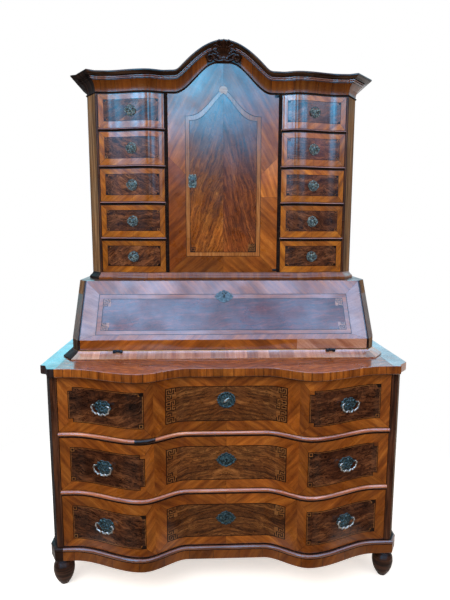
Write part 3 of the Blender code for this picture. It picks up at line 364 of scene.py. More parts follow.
def wood(name, colours, along=7.0, across=120.0, warp=(5.0, 0.006), swirl=(0.0, 30.0), veins=None,
         spots=(0.32, 0.45, 0.56, 0.70), gloss=1.0, rough=(0.24, 0.40), axis=None, shine=0.15):
    """Varnished wood: streaks along the grain, swirling figure, dark veins, pores and worn gloss."""
    s = Surface(name)
    place = s.place(axis)
    sway = s.noise(place, warp[0], detail=3, output="Color")
    sway = s.scaled(s.shifted(sway, (-NOISE_MIDDLE,) * 3), (2 * warp[1],) * 3)
    bent = s.shifted(place, sway)
    streaks = s.noise(bent, (along, across, across), roughness=FIGURE_ROUGHNESS)
    broad = s.noise(bent, (along / 3, across / 6, across / 6), detail=2)
    factor = s.math("ADD", streaks, s.spread_to(broad, 0.0, 1.0, *BROAD_SWING))
    if swirl[0]:
        curls = s.noise(bent, swirl[1], 5, FIGURE_ROUGHNESS, CURL_DISTORTION)
        factor = s.add("Mix", {0: swirl[0], 2: factor, 3: curls}, data_type="FLOAT").outputs[0]
    colour = s.ramp(factor, graded(zip(spots, colours)))
    if veins:
        length, width, share, shade = veins
        lines = s.noise(bent, (length, width, width), 4, VEIN_ROUGHNESS, VEIN_DISTORTION)
        ridge = s.math("ABSOLUTE", s.math("SUBTRACT", lines, NOISE_MIDDLE))
        vein = s.ramp(ridge, [(0.0, srgb(shade, shade, shade)), (share, WHITE)])
        colour = s.shaded(colour, vein, VEIN_MIX)
    warmth = s.ramp(s.noise(place, WARMTH_SCALE, detail=2), graded(WARMTH))
    colour = s.shaded(colour, warmth, WARMTH_MIX)
    pores = s.noise(bent, PORE_SCALES, detail=1)
    colour = s.shaded(colour, s.ramp(pores, graded(PORES)), PORE_MIX)
    if axis is None:
        colour = s.shaded(colour, s.add("Attribute", attribute_name=TONE).outputs["Color"])
    wear = s.noise(place, WEAR_SCALE, detail=3)
    s.set(Base_Color=colour, Roughness=s.spread_to(wear, *WEAR_SPAN, *rough))
    if gloss:
        polish = s.spread_to(s.noise(place, POLISH_SCALE), *POLISH_SPAN, WORN_POLISH * gloss, gloss)
        coat_rough = s.spread_to(wear, *WEAR_SPAN, *COAT_ROUGH)
        s.set(Coat_Weight=polish, Coat_IOR=COAT_IOR, Coat_Roughness=coat_rough)
    s.set(Specular_IOR_Level=shine, Normal=s.bump(s.math("ADD", streaks, pores), *GRAIN_RELIEF))
    return s.material


METAL_SCALE = 160.0
METAL_DETAIL = (5, 0.6)
METAL_SPOTS = (0.36, 0.50, 0.64)
METAL_IOR = 1.5
METAL_RELIEF = (0.35, 0.0005)


def metal(name, colours, rough, metallic):
    """Old metal: patina in patches, with a brighter or darker skin where it wears."""
    s = Surface(name)
    space = s.place("X")
    patches = s.noise(space, METAL_SCALE, *METAL_DETAIL)
    fine = s.noise(space, 9 * METAL_SCALE, detail=2)
    s.set(Base_Color=s.ramp(patches, graded(zip(METAL_SPOTS, colours))), Metallic=metallic,
          IOR=METAL_IOR, Roughness=s.spread_to(patches, *WEAR_SPAN, *rough))
    s.set(Normal=s.bump(s.math("ADD", patches, fine), *METAL_RELIEF))
    return s.material


FLOOR_MOTTLE = (3.0, ((0.3, (246, 246, 246)), (0.7, (250, 250, 250))))
FLOOR_ROUGH = 0.9
FLOOR_CENTRE = 0.30
FLOOR_FADE = (0.85, 1.45)
FLOOR_FRONT = (-0.52, -0.30)
FLOOR_GLOW = 0.50


def studio_floor():
    """A near-white floor under and behind the piece, thinning out to nothing before its front."""
    s = Surface("pale_floor")
    space = s.place("X")
    scale, tones = FLOOR_MOTTLE
    mottle = s.ramp(s.noise(space, scale, detail=3), graded(tones))
    s.set(Base_Color=mottle, Roughness=FLOOR_ROUGH, Specular_IOR_Level=0.0)
    reach = s.add("VectorMath", {0: s.shifted(space, (0.0, -FLOOR_CENTRE, 0.0))}, operation="LENGTH")
    across = s.spread_to(reach.outputs["Value"], *FLOOR_FADE, 1.0, 0.0)
    front = s.spread_to(s.add("SeparateXYZ", {0: space}).outputs["Y"], *FLOOR_FRONT)
    s.set(Alpha=s.math("MULTIPLY", across, front), Emission_Color=WHITE)
    seen = s.add("LightPath").outputs["Is Camera Ray"]
    s.set(Emission_Strength=s.spread_to(seen, 0.0, 1.0, 0.0, FLOOR_GLOW))
    return s.material


# Settings that several woods share
CROSSED = {"along": 6.0, "across": 60.0}
BURRED = {"along": 12.0, "across": 56.0, "warp": (9.0, 0.030), "swirl": (0.34, 30.0),
          "veins": (12.0, 72.0, 0.050, 40)}
FLAMED = {"along": 9.0, "across": 110.0, "warp": (9.0, 0.018), "swirl": (0.26, 34.0),
          "veins": (11.0, 130.0, 0.050, 84)}
UNVARNISHED = {"gloss": 0.0, "rough": (0.5, 0.7)}
EVEN_SPOTS = (0.14, 0.40, 0.60, 0.88)
BURR_COLOURS = ((36, 22, 15), (66, 41, 27), (98, 64, 42), (138, 96, 64))
FLAME_COLOURS = ((60, 34, 17), (96, 57, 29), (120, 75, 38), (158, 106, 60))
SOFT_COLOURS = ((150, 112, 70), (176, 138, 92), (194, 158, 110), (208, 176, 130))
DARK_COLOURS = ((40, 24, 18), (58, 35, 25), (76, 46, 32), (94, 60, 42))

WOODS = {
    "banding": wood("cross_banding", ((74, 34, 10), (116, 62, 20), (149, 86, 30), (188, 120, 50)),
                    **CROSSED, swirl=(0.22, 12.0), spots=(0.20, 0.42, 0.58, 0.80)),
    "frieze": wood("frieze_banding", ((92, 44, 14), (122, 66, 22), (144, 83, 29), (172, 108, 45)),
                   **CROSSED, spots=EVEN_SPOTS, gloss=0.25),
    "burr": wood("burr_walnut", BURR_COLOURS, **BURRED),
    "side_burr": wood("side_burr_walnut", BURR_COLOURS, **BURRED, gloss=0.25),
    "flame": wood("flamed_walnut", FLAME_COLOURS, **FLAMED),
    "fall_flame": wood("fall_flamed_walnut", FLAME_COLOURS, **FLAMED, gloss=0.82),
    "crotch": wood("crotch_walnut", ((78, 40, 18), (114, 64, 28), (140, 84, 38), (172, 112, 58)),
                   8.0, 120.0, warp=(7.0, 0.022), swirl=(0.26, 28.0), veins=(9.0, 120.0, 0.040, 110)),
    "cant": wood("canted_walnut", ((84, 60, 42), (112, 84, 60), (136, 106, 78), (162, 132, 102)),
                 5.0, 110.0, **UNVARNISHED, shine=0.03),
    "foot": wood("foot_walnut", ((26, 18, 16), (40, 27, 23), (54, 36, 29), (72, 49, 40)),
                 8.0, 120.0, gloss=0.03, shine=0.06),
    # Painted shade: near-black walnut for gaps, lip undersides, and left ends that mirror dark
    # surroundings
    "stained": wood("painted_shade_walnut", ((16, 13, 14), (24, 19, 19), (34, 26, 25), (48, 36, 33)),
                    8.0, 110.0, gloss=0.0, rough=(0.55, 0.75), shine=0.03),
    "top": wood("top_walnut", ((92, 44, 22), (134, 70, 34), (164, 92, 46), (196, 124, 70)),
                9.0, 60.0, warp=(9.0, 0.020), swirl=(0.35, 26.0), veins=(10.0, 60.0, 0.030, 110),
                gloss=0.35),
    "pale": wood("pale_stringing", ((142, 88, 44), (162, 104, 54), (176, 118, 66), (192, 136, 84)),
                 10.0, 120.0),
    # Ebonised stringing and dark joints; also painted shade in the gaps round the drawers and the fall,
    # and in the cornice's grooves
    "black": wood("ebonised_stringing_and_painted_shade", ((14, 9, 8), (22, 14, 11), (28, 18, 14), (36, 24, 19)),
                  12.0, 160.0, gloss=0.45),
    "bead": wood("bead_walnut", ((120, 68, 46), (150, 92, 66), (172, 112, 84), (200, 142, 112)),
                 9.0, 150.0, gloss=0.6),
    "ledge": wood("ledge_banding", ((104, 60, 44), (148, 102, 86), (172, 130, 114), (196, 158, 144)),
                  **CROSSED, spots=EVEN_SPOTS),
    "dark": wood("dark_walnut", ((36, 22, 17), (52, 32, 23), (70, 43, 30), (88, 57, 40)), 8.0, 120.0),
    "carved": wood("carved_walnut", ((26, 16, 12), (44, 27, 20), (62, 39, 28), (84, 56, 40)),
                   20.0, 120.0, gloss=0.16),
    "cornice": wood("cornice_walnut", ((30, 20, 14), (46, 31, 22), (62, 43, 31), (84, 62, 46)),
                    8.0, 120.0, gloss=0.16),
    "soft": wood("plain_softwood", SOFT_COLOURS, 3.0, 90.0, **UNVARNISHED),
}
METALS = {
    "silvered": metal("silvered_plate", ((30, 40, 42), (54, 68, 72), (92, 108, 114)), (0.40, 0.56),
                      0.20),
    "plate": metal("blackened_plate", ((22, 30, 31), (40, 54, 54), (84, 100, 98)), (0.38, 0.58), 0.45),
    "bright": metal("worn_bright_bail", ((84, 80, 76), (146, 140, 132), (208, 202, 194)), (0.30, 0.46),
                    0.45),
    "verdigris": metal("verdigris_pull", ((30, 37, 37), (64, 77, 75), (136, 150, 146)), (0.45, 0.65),
                       0.10),
    "iron": metal("black_iron", ((18, 18, 20), (32, 32, 34), (66, 66, 68)), (0.35, 0.6), 0.8),
    "steel": metal("old_key_steel", ((52, 54, 54), (104, 106, 102), (168, 168, 160)), (0.25, 0.45), 0.9),
    "void": metal("keyhole_shade", ((6, 6, 6), (9, 9, 9), (12, 12, 12)), (0.8, 0.95), 0.0),
}
MATERIALS = {**WOODS, **METALS}


UNTINTED = (1.0, 1.0, 1.0)
JITTER = 0.10


# Looks: what a face is made of
def look(kind, grain=0.0, tone=1.0, tint=UNTINTED, mirror=1, jitter=JITTER):
    """Material, direction of its grain in degrees, and a leaf's own shade and place in the wood."""
    shade = tone * (1 + dice.uniform(-jitter, jitter))
    shift = (0, 0) if mirror < 0 or not jitter else (dice.uniform(0, 9), dice.uniform(0, 9))
    return kind, math.radians(grain), tuple(shade * part for part in tint), shift, mirror


def shaded_upwards(face_look, z_low, z_high, share):
    """The same look with painted shade: its tone changing evenly up the leaf to this share."""
    kind, grain, tone, shift, mirror = face_look

    def shade(u, v):
        rise = min(max((v - z_low) / (z_high - z_low), 0), 1)
        return tuple(part * (1 + (share - 1) * rise) for part in tone)

    return kind, grain, shade, shift, mirror


def in_scene(name, data):
    made = bpy.data.objects.new(name, data)
    bpy.context.scene.collection.objects.link(made)
    return made


def cut(polygons, lines):
    """Triangles of polygons laid over each other, also cut along lines.

    It gives their points, their corners, and which given points and polygons they come from.
    """
    points, rings, joins = [], [], []
    for polygon in polygons:
        rings.append(list(range(len(points), len(points) + len(polygon))))
        points += [Vector(point) for point in polygon]
    for line in lines:
        joins.append((len(points), len(points) + 1))
        points += [Vector(point) for point in line]
    spots, _, triangles, known, _, sources = delaunay_2d_cdt(points, joins, rings, 0, WELD)
    return [tuple(spot) for spot in spots], zip(triangles, sources), known


def winding(corners, spots):
    """Twice a triangle's area, below zero where it runs clockwise."""
    (ax, ay), (bx, by), (cx, cy) = (spots[c] for c in corners)
    return (bx - ax) * (cy - ay) - (by - ay) * (cx - ax)


# How far towards the middle of a face its corners' normals are taken
NORMAL_INSET = 0.04
# A sharp corner's mitre is divided by no less than this
LEAST_MITRE = 0.3


class Skin:
    """Faces of one piece, gathered before its mesh is made."""

    def __init__(self):
        self.points = []
        self.faces = []
        self.looks = []
        self.shades = []
        self.layout = []
        self.normals = []

    def add_points(self, points):
        start = len(self.points)
        self.points.extend(Vector(point) for point in points)
        return start

    def face(self, corners, face_look, flat, normals=None):
        kind, grain, tone, shift, mirror = face_look
        turn, lean = math.cos(grain), math.sin(grain)
        self.faces.append(corners)
        self.looks.append(kind)
        self.shades.append([tone(u, v) if callable(tone) else tone for u, v in flat])
        places = [(mirror * u * turn + v * lean + shift[0], v * turn - mirror * u * lean + shift[1])
                  for u, v in flat]
        self.layout.append(places)
        self.normals.append(normals)

    def build(self, name, body, replaces=()):
        mesh = bpy.data.meshes.new(name)
        mesh.from_pydata(self.points, [], self.faces)
        kinds = list(dict.fromkeys(self.looks))
        for kind in kinds:
            mesh.materials.append(MATERIALS[kind])
        mesh.polygons.foreach_set("material_index", [kinds.index(kind) for kind in self.looks])
        places = mesh.uv_layers.new(name=GRAIN).data
        places.foreach_set("uv", [part for face in self.layout for place in face for part in place])
        tones = mesh.color_attributes.new(TONE, "FLOAT_COLOR", "CORNER").data
        shades = [part for face in self.shades for tone in face for part in (*tone, 1.0)]
        tones.foreach_set("color", shades)
        mesh.shade_smooth()
        mesh.set_sharp_from_angle(angle=SMOOTH_ANGLE)
        if any(self.normals):
            still = (0.0, 0.0, 0.0)
            given = []
            for face, normals in zip(self.faces, self.normals):
                given.extend(normals or [still] * len(face))
            mesh.normals_split_custom_set(given)
        made = in_scene(name, mesh)
        if replaces:
            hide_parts(*replaces)
        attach(made, body)
        return made

    def grid(self, rows, look_of, closed_rows=False, closed_columns=False, capped=False, turned=False):
        """A skin over rows of points, of one look or of look_of(row, column) for each face."""
        if not callable(look_of):
            only = look_of
            return self.grid(rows, lambda row, column: only, closed_rows, closed_columns, capped, turned)
        start = self.add_points(point for row in rows for point in row)
        width = len(rows[0])
        down = [0.0]
        for first, second in zip(rows, rows[1:]):
            down.append(down[-1] + (Vector(second[0]) - Vector(first[0])).length)
        down.append(down[-1] + (Vector(rows[0][0]) - Vector(rows[-1][0])).length)
        along = [0.0]
        middle = rows[len(rows) // 2]
        for first, second in zip(middle, [*middle[1:], middle[0]]):
            along.append(along[-1] + (Vector(second) - Vector(first)).length)
        for row in range(len(rows) - (0 if closed_rows else 1)):
            for column in range(width - (0 if closed_columns else 1)):
                spots = [(row, column), (row, column + 1), (row + 1, column + 1), (row + 1, column)]
                if turned:
                    spots.reverse()
                corners = [start + (r % len(rows)) * width + c % width for r, c in spots]
                flat = [(down[r], along[c]) for r, c in spots]
                self.face(corners, look_of(row, column), flat)
        if capped:
            for row, order in ((0, -1), (len(rows) - 1, 1)):
                corners = [start + row * width + column for column in range(width)]
                if turned:
                    order = -order
                corners = corners[::order]
                flat = [(self.points[c].y, self.points[c].z) for c in corners]
                self.face(corners, look_of(min(row, len(rows) - 2), 0), flat)

    def board(self, start, end, board_look, edge=EDGE):
        """A board with its edges eased, between two corners."""
        levels = (start[2], start[2] + edge, end[2] - edge, end[2])
        rows = []
        for inset, z in zip((edge, 0, 0, edge), levels):
            x0, x1, y0, y1 = start[0] + inset, end[0] - inset, start[1] + inset, end[1] - inset
            rows.append([(x0 + edge, y0, z), (x1 - edge, y0, z), (x1, y0 + edge, z), (x1, y1 - edge, z),
                         (x1 - edge, y1, z), (x0 + edge, y1, z), (x0, y1 - edge, z), (x0, y0 + edge, z)])
        self.grid(rows, board_look, closed_columns=True, capped=True)

    def turned(self, profile, place, face_look, sides=ROUND_STEPS):
        """A turned shape: (radius, height) pairs round the local Z axis of place."""
        rows = [[place @ Vector((x, y, height)) for x, y in ring(radius, sides)]
                for radius, height in profile]
        self.grid(rows, face_look, closed_columns=True, capped=True)

    def tube(self, line, radius_of, face_look, place=Matrix(), sides=12, closed=False, lift=(0, 0, 1)):
        """A round bar along a line of local points. radius_of(share) is its radius along the way."""
        rows = []
        count = len(line)
        circle = ring(1, sides)
        up = Vector(lift)
        for index, point in enumerate(line):
            before = line[index - 1] if index or closed else point
            after = line[(index + 1) % count] if index < count - 1 or closed else point
            along = (Vector(after) - Vector(before)).normalized()
            side = along.cross(up).normalized()
            other = side.cross(along)
            radius = radius_of(index / max(count - 1, 1))
            reaches = [side * radius * a + other * radius * b for a, b in circle]
            rows.append([place @ (Vector(point) + reach) for reach in reaches])
        self.grid(rows, face_look, closed_rows=closed, closed_columns=True, capped=not closed)

    def inlay(self, outline, regions, place, lines=(), deep=0.0, edge=EDGE, ground=None, back=None,
              inward=None, edge_look=None):
        """Veneer cut to regions, each (polygon, look). A later region covers an earlier one.

        place(u, v) gives the point in space and the outward normal. A region with no look is a hole.
        With deep, the leaf gets an eased edge and a back, so it is a board that thick.
        """
        polygons = [outline] + [region[0] for region in regions]
        flat, triangles, _ = cut(polygons, lines)
        kept = []
        for corners, sources in triangles:
            top = max(sources, default=0)
            face_look = ground if top == 0 else regions[top - 1][1]
            if 0 not in sources or face_look is None:
                continue
            corners = list(corners)
            kept.append((corners[::-1] if winding(corners, flat) < 0 else corners, face_look))
        spots, frames = {}, {}
        for index in sorted({corner for corners, _ in kept for corner in corners}):
            frames[index] = place(*flat[index])
            spots[index] = len(self.points)
            self.points.append(Vector(frames[index][0]))
        sample = kept[0][0]
        first, second, third = (self.points[spots[c]] for c in sample)
        flip = (second - first).cross(third - first).dot(frames[sample[0]][1]) < 0
        loose = {}
        for corners, face_look in kept:
            centre = [sum(flat[c][axis] for c in corners) / len(corners) for axis in (0, 1)]
            ordered = corners[::-1] if flip else corners
            normals = []
            for corner in ordered:
                near = [a * (1 - NORMAL_INSET) + b * NORMAL_INSET for a, b in zip(flat[corner], centre)]
                normals.append(place(*near)[1])
            self.face([spots[c] for c in ordered], face_look, [flat[c] for c in ordered], normals)
            for start, end in zip(corners, corners[1:] + corners[:1]):
                if (end, start) in loose:
                    del loose[(end, start)]
                else:
                    loose[(start, end)] = face_look
        if not deep:
            return

        def behind(u, v, depth):
            point, normal = place(u, v)
            return Vector(point) + (Vector(inward) if inward else -Vector(normal)) * depth

        self.skirt(flat, loose, behind, spots, deep, edge, flip, edge_look, back, lines)

    def skirt(self, flat, loose, behind, spots, deep, edge, flip, edge_look, back, lines):
        """The eased edge, the sides and the back of an inlaid board."""
        lean = {}
        for start, end in loose:
            (ax, ay), (bx, by) = flat[start], flat[end]
            for corner in (start, end):
                lean.setdefault(corner, []).append(Vector((by - ay, ax - bx)).normalized())
        outer, near, far = {}, {}, {}
        for corner, outs in lean.items():
            mitre = outs[0]
            if len(outs) > 1:
                mitre = (outs[0] + outs[1]) / max(1 + outs[0].dot(outs[1]), LEAST_MITRE)
            outer[corner] = (flat[corner][0] + mitre.x * edge, flat[corner][1] + mitre.y * edge)
            near[corner] = self.add_points([behind(*outer[corner], edge)])
            far[corner] = self.add_points([behind(*outer[corner], deep)])
        for (start, end), face_look in loose.items():
            side_look = edge_look or face_look
            length = math.dist(flat[start], flat[end])
            for upper, lower, depth in ((spots, near, edge), (near, far, deep)):
                corners = [upper[start], lower[start], lower[end], upper[end]]
                places = [(0, 0), (0, depth), (length, depth), (length, 0)]
                if flip:
                    corners, places = corners[::-1], places[::-1]
                self.face(corners, side_look, places)
        if not back:
            return
        follow = dict(loose.keys())
        rings = []
        while follow:
            corner, following = follow.popitem()
            way = [corner]
            while following in follow:
                way.append(following)
                following = follow.pop(following)
            rings.append(way)
        order = [corner for way in rings for corner in way]
        polygons = [[outer[corner] for corner in way] for way in rings]
        spot, triangles, known = cut(polygons, lines[::2])
        size = [abs(sum(a[0] * b[1] - b[0] * a[1] for a, b in zip(way, way[1:] + way[:1])))
                for way in polygons]
        main = size.index(max(size))
        made = {}
        for corners, sources in triangles:
            if sources != [main]:
                continue
            for corner in corners:
                if corner in made:
                    continue
                given = [order[k] for k in known[corner] if k < len(order)]
                made[corner] = far[given[0]] if given else self.add_points([behind(*spot[corner], deep)])
            if (winding(corners, spot) < 0) == flip:
                corners = corners[::-1]
            self.face([made[c] for c in corners], back, [spot[c] for c in corners])


# Layouts of veneer. The lighter line inside a panel's stringing is this wide
LIGHT_LINE = 0.0016


def rectangle(x0, x1, z0, z1):
    return [(x0, z0), (x1, z0), (x1, z1), (x0, z1)]


def strip(start, end, width):
    """A thin rectangle along a line: a seam or a length of stringing."""
    start, end = Vector(start), Vector(end)
    along = (end - start).normalized() * width / 2
    side = Vector((-along.y, along.x))
    return [tuple(p) for p in (start - side - along, end - side + along, end + side + along,
                               start + side - along)]


def mitred_border(outer, inner, looks, seam_look):
    """Four leaves round a panel, mitred at its corners: bottom, right, top and left."""
    regions = []
    outer_corners, inner_corners = rectangle(*outer), rectangle(*inner)
    for index, leaf in enumerate(looks):
        after = (index + 1) % 4
        regions.append(([outer_corners[index], outer_corners[after], inner_corners[after],
                         inner_corners[index]], leaf))
    for corner, inside in zip(outer_corners, inner_corners):
        regions.append((strip(corner, inside, SEAM), seam_look))
    return regions


def framed(inner, panel_look, string_look, width=STRING, light=None):
    """A panel with a thin line of stringing round it, and a lighter one inside where light is given."""
    x0, x1, z0, z1 = inner
    core = rectangle(x0 + width, x1 - width, z0 + width, z1 - width)
    if not light:
        return [(rectangle(*inner), string_look), (core, panel_look)]
    within = width + LIGHT_LINE
    inmost = rectangle(x0 + within, x1 - within, z0 + within, z1 - within)
    return [(rectangle(*inner), string_look), (core, light), (inmost, panel_look)]


# Key patterns, each from a corner inwards
FRET = ("###########",
        "#.....#...#",
        "#.###.#.#.#",
        "#.#.#.#.#.#",
        "#.#.###.#.#",
        "#.#.....#..",
        "#.#######..",
        "#..........",
        "#####.#....",
        "#...#.#....",
        "#.#...#....",
        "#.#####....")
CHAIN = ("###########",
         "#.....#...#",
         "#.###.#.#.#",
         "#.###.#.###",
         "#.....#....",
         "#######.###",
         "#.....#...#",
         "#.###.#.#.#",
         "#.###.#.#.#",
         "#.....###.#",
         "#####.....#")
NEST = ("#######",
        "#.....#",
        "#.###.#",
        "#.###.#",
        "#.###.#",
        "#.....#",
        "#######")
BLOCK = ("#######",
         "#######",
         "######.",
         "######.",
         "#####..")
NOTCH = ("......#",
         "......#",
         "......#",
         "......#",
         "......#",
         "#######")


def key_square(rows, corner, signs, unit, ink, ground=None):
    """A key pattern drawn from a corner inwards, on a lighter square where ground is given."""
    def mark(across, down, end, bottom, mark_look):
        xs = sorted(corner[0] + signs[0] * unit * step for step in (across, end))
        zs = sorted(corner[1] + signs[1] * unit * step for step in (down, bottom))
        return rectangle(*xs, *zs), mark_look

    regions = [mark(0, 0, len(rows[0]), len(rows), ground)] if ground else []
    for down, row in enumerate(rows):
        start = None
        for across, sign in enumerate(row + "."):
            if sign == "#" and start is None:
                start = across
            if sign != "#" and start is not None:
                regions.append(mark(start, down, across, down + 1, ink))
                start = None
    return regions


def corners_of(panel):
    """A panel's corners from left to right, low before high, each with its directions inwards."""
    x0, x1, z0, z1 = panel
    return [((x, z), (lean, rise)) for x, lean in ((x0, 1), (x1, -1)) for z, rise in ((z0, 1), (z1, -1))]


def gap_shadows(x0, x1, z0, z1, rim, top_rim, ink):
    """Painted shadow in the gaps round a drawer's front: dark edges, wider along its top."""
    strips = [strip((x, z0), (x, z1), 2 * rim) for x in (x0, x1)]
    strips += [strip((x0, z), (x1, z), 2 * width) for z, width in ((z0, rim), (z1, top_rim))]
    return [(outline, ink) for outline in strips]


def upright_lines(xs, z0, z1):
    return [((x, z0 - STRING), (x, z1 + STRING)) for x in xs]


# Where a layout lies in space
def on_front(front_y, curve):
    def place(x, z):
        turn = slope_of(curve, x)
        return Vector((x, front_y(x), z)), Vector((-math.sin(turn), -math.cos(turn), 0))
    return place


def on_plane(origin, across, up):
    origin, across, up = Vector(origin), Vector(across), Vector(up)
    normal = across.cross(up).normalized()
    return lambda u, v: (origin + across * u + up * v, normal)


def on_frame(matrix, lift=0.0):
    """The local XY plane of a matrix, a little way up its Z axis."""
    normal = (matrix.to_3x3() @ Vector((0, 0, 1))).normalized()
    return lambda u, v: (matrix @ Vector((u, v, lift)), normal)


# The way in which a front gets its thickness
TO_BACK = (0, 1, 0)


# Plan lines, from the back left corner round the front to the back right corner
def mirrored(half):
    return half + [(-x, y) for x, y in reversed(half) if x < 0]


def cant_start(half_width, cant, front_y):
    return [(-half_width, BACK_Y), (-half_width, front_y + cant[1]), (-half_width + cant[0], front_y)]


def commode_plan():
    half = cant_start(BODY_HALF, BODY_CANT, BODY_END_Y)
    return mirrored(half + [(x, long_front_y(x)) for x in spread(-LONG_HALF, 0, LONG_STEPS // 2)])


def desk_plan():
    half = cant_start(DESK_HALF, DESK_CANT, LID_Y)
    middle = spread(-DESK_HALF + DESK_CANT[0], 0, LEDGE_STEPS)[1:]
    return mirrored(half + [(x, LID_Y) for x in middle])


def upper_plan(centre_steps):
    half = cant_start(UPPER_HALF, UPPER_CANT, STILE_Y)
    half += [(x, small_front_y(x)) for x in spread(-COLUMN_OUTER, -COLUMN_INNER, SMALL_STEPS)]
    half += [(x, DOOR_Y) for x in spread(-BELL_HALF_WIDTH, 0, centre_steps // 2)]
    return mirrored(half)


def outward(plan):
    """Mitre vectors of a plan line: one metre proud of each face it joins."""
    normals = [Vector((y2 - y1, x1 - x2)).normalized() for (x1, y1), (x2, y2) in zip(plan, plan[1:])]
    pairs = zip([normals[0]] + normals, normals + [normals[-1]])
    return [(a + b) / (1 + a.dot(b)) for a, b in pairs]


def softened(points, steps=4):
    """A smooth line through points: each stretch gets this many steps."""
    line = []
    count = len(points)
    for index in range(count - 1):
        a, b, c, d = (Vector(points[min(max(index + k, 0), count - 1)]) for k in (-1, 0, 1, 2))
        for step in range(steps):
            t = step / steps
            line.append((2 * b + (c - a) * t + (2 * a - 5 * b + 4 * c - d) * t * t
                         + (3 * b - a - 3 * c + d) * t ** 3) / 2)
    return [tuple(point) for point in line] + [tuple(points[-1])]


# How much the leaves' lengths vary, without and with joints between them
LEAF_SCATTER = (0.75, 1.25)
JOINTED_SCATTER = (0.6, 1.3)
JOINT_WIDTH = 0.0013
# Leaves along a moulding: length, kinds of wood, spread of tones, grain and tone
TOP_LEAVES = (0.030, ("banding",), 0.24, 90, 1.08)
PLINTH_LEAVES = (0.085, ("frieze",), 0.24, 62, 0.58)
LEDGE_LEAVES = (0.024, ("ledge",), 0.26, 90, 1.0)
BASE_LEAVES = (0.05, ("frieze",), 0.24, 90, 0.80)
CORNICE_LEAVES = (0.075, ("frieze",), 0.22, 90, 0.56)
CORNICE_BOARDS = (0.30, ("cornice",), 0.10, 0, 0.9)
# Looks that recur: kind, grain and tone
KEY_GROUND = ("pale", 0, 0.6)
SHADED_END = ("stained", 90, 1.4)
# Tints of golden and of reddish leaves
GOLDEN = (1.10, 1.24, 0.95)
REDDISH = (1.08, 0.96, 0.92)


def leaves_along(plan, length, kinds, spread_of_tones, grain, tone):
    """A leaf look for each stretch of a plan line, changing every so often."""
    looks = []
    left = 0
    for (x1, y1), (x2, y2) in zip(plan, plan[1:]):
        left -= math.hypot(x2 - x1, y2 - y1)
        if left <= 0:
            leaf = look(dice.choice(kinds), grain, tone, jitter=spread_of_tones)
            left = length * dice.uniform(*LEAF_SCATTER)
        looks.append(leaf)
    return looks


def jointed(plan, length, kinds, spread_of_tones, grain, tone):
    """A plan line cut into leaves, a dark joint starting each, and a look for each stretch."""
    joint = look("black", jitter=0)
    points, looks = [plan[0]], []
    left = 0
    for start, end in zip(plan, plan[1:]):
        start, end = Vector(start), Vector(end)
        run = (end - start).length
        if left <= 0:
            leaf = look(dice.choice(kinds), grain, tone, jitter=spread_of_tones)
            left = length * dice.uniform(*JOINTED_SCATTER)
            if run > 2 * JOINT_WIDTH:
                points.append(tuple(start + (end - start) * JOINT_WIDTH / run))
                looks.append(joint)
        left -= run
        points.append(tuple(end))
        looks.append(leaf)
    return points, looks


# Commode. Where the centre's leaves end, and where the side and centre panels reach from the middle
CREASE = 0.2505
SIDE_PANEL = (0.281, 0.553)
CENTRE_PANEL = 0.212
# Below and above the panels, from the uppermost drawer down
PANEL_MARGINS = ((0.0375, 0.0375), (0.0345, 0.0395), (0.032, 0.043))
FRET_UNIT = 0.0033
NEST_UNIT = 0.0027
# Widths of the painted gap shadow round a long drawer's front, and along its top
RIM = 0.0024
TOP_RIM = 0.0055
# The keys of the side panels: left low, left high, right low, right high
SIDE_KEYS = ((NOTCH, NOTCH, NEST, BLOCK), (NEST, NEST, NOTCH, NOTCH), (NEST, NEST, BLOCK, BLOCK))
LEAF_SLANT = 34
# Shares of tone of the leaves beside, over and under the panels, and of the centre's four leaves
SIDE_LEAF_TONES = (0.95, 0.93)
CENTRE_LEAF_TONES = (0.95, 1.08, 0.92, 0.94)
LIGHT_LEAF_TONES = (1.10, 1.12)
PANEL_TONES = (0.94, 1.08, 0.88)
PANEL_GRAIN = 16
BURR_TURN = 20
BURR_TONE = 0.92
# Spread of tones of the panels' borders, and of the side panels' upright leaves
BORDER_JITTER = 0.15
UPRIGHT_JITTER = 0.18
LIGHT_STRINGING = ("pale", 0, 0.62)
NEST_GROUND = ("pale", 0, 0.55)
FRET_GROUND = ("pale", 0, 0.52)
ESCUTCHEON_RISES = (0.013, 0.009, 0.003)
LONG_BACK_GAP = 0.030
LONG_KIND = {"front_y": long_front_y, "curve": serpentine, "thickness": LONG_FRONT_THICKNESS,
             "steps": LONG_STEPS, "box_steps": LONG_STEPS // 3, "back_y": INNER_BACK_Y - LONG_BACK_GAP,
             "wall": LONG_WALL, "floor": LONG_FLOOR}


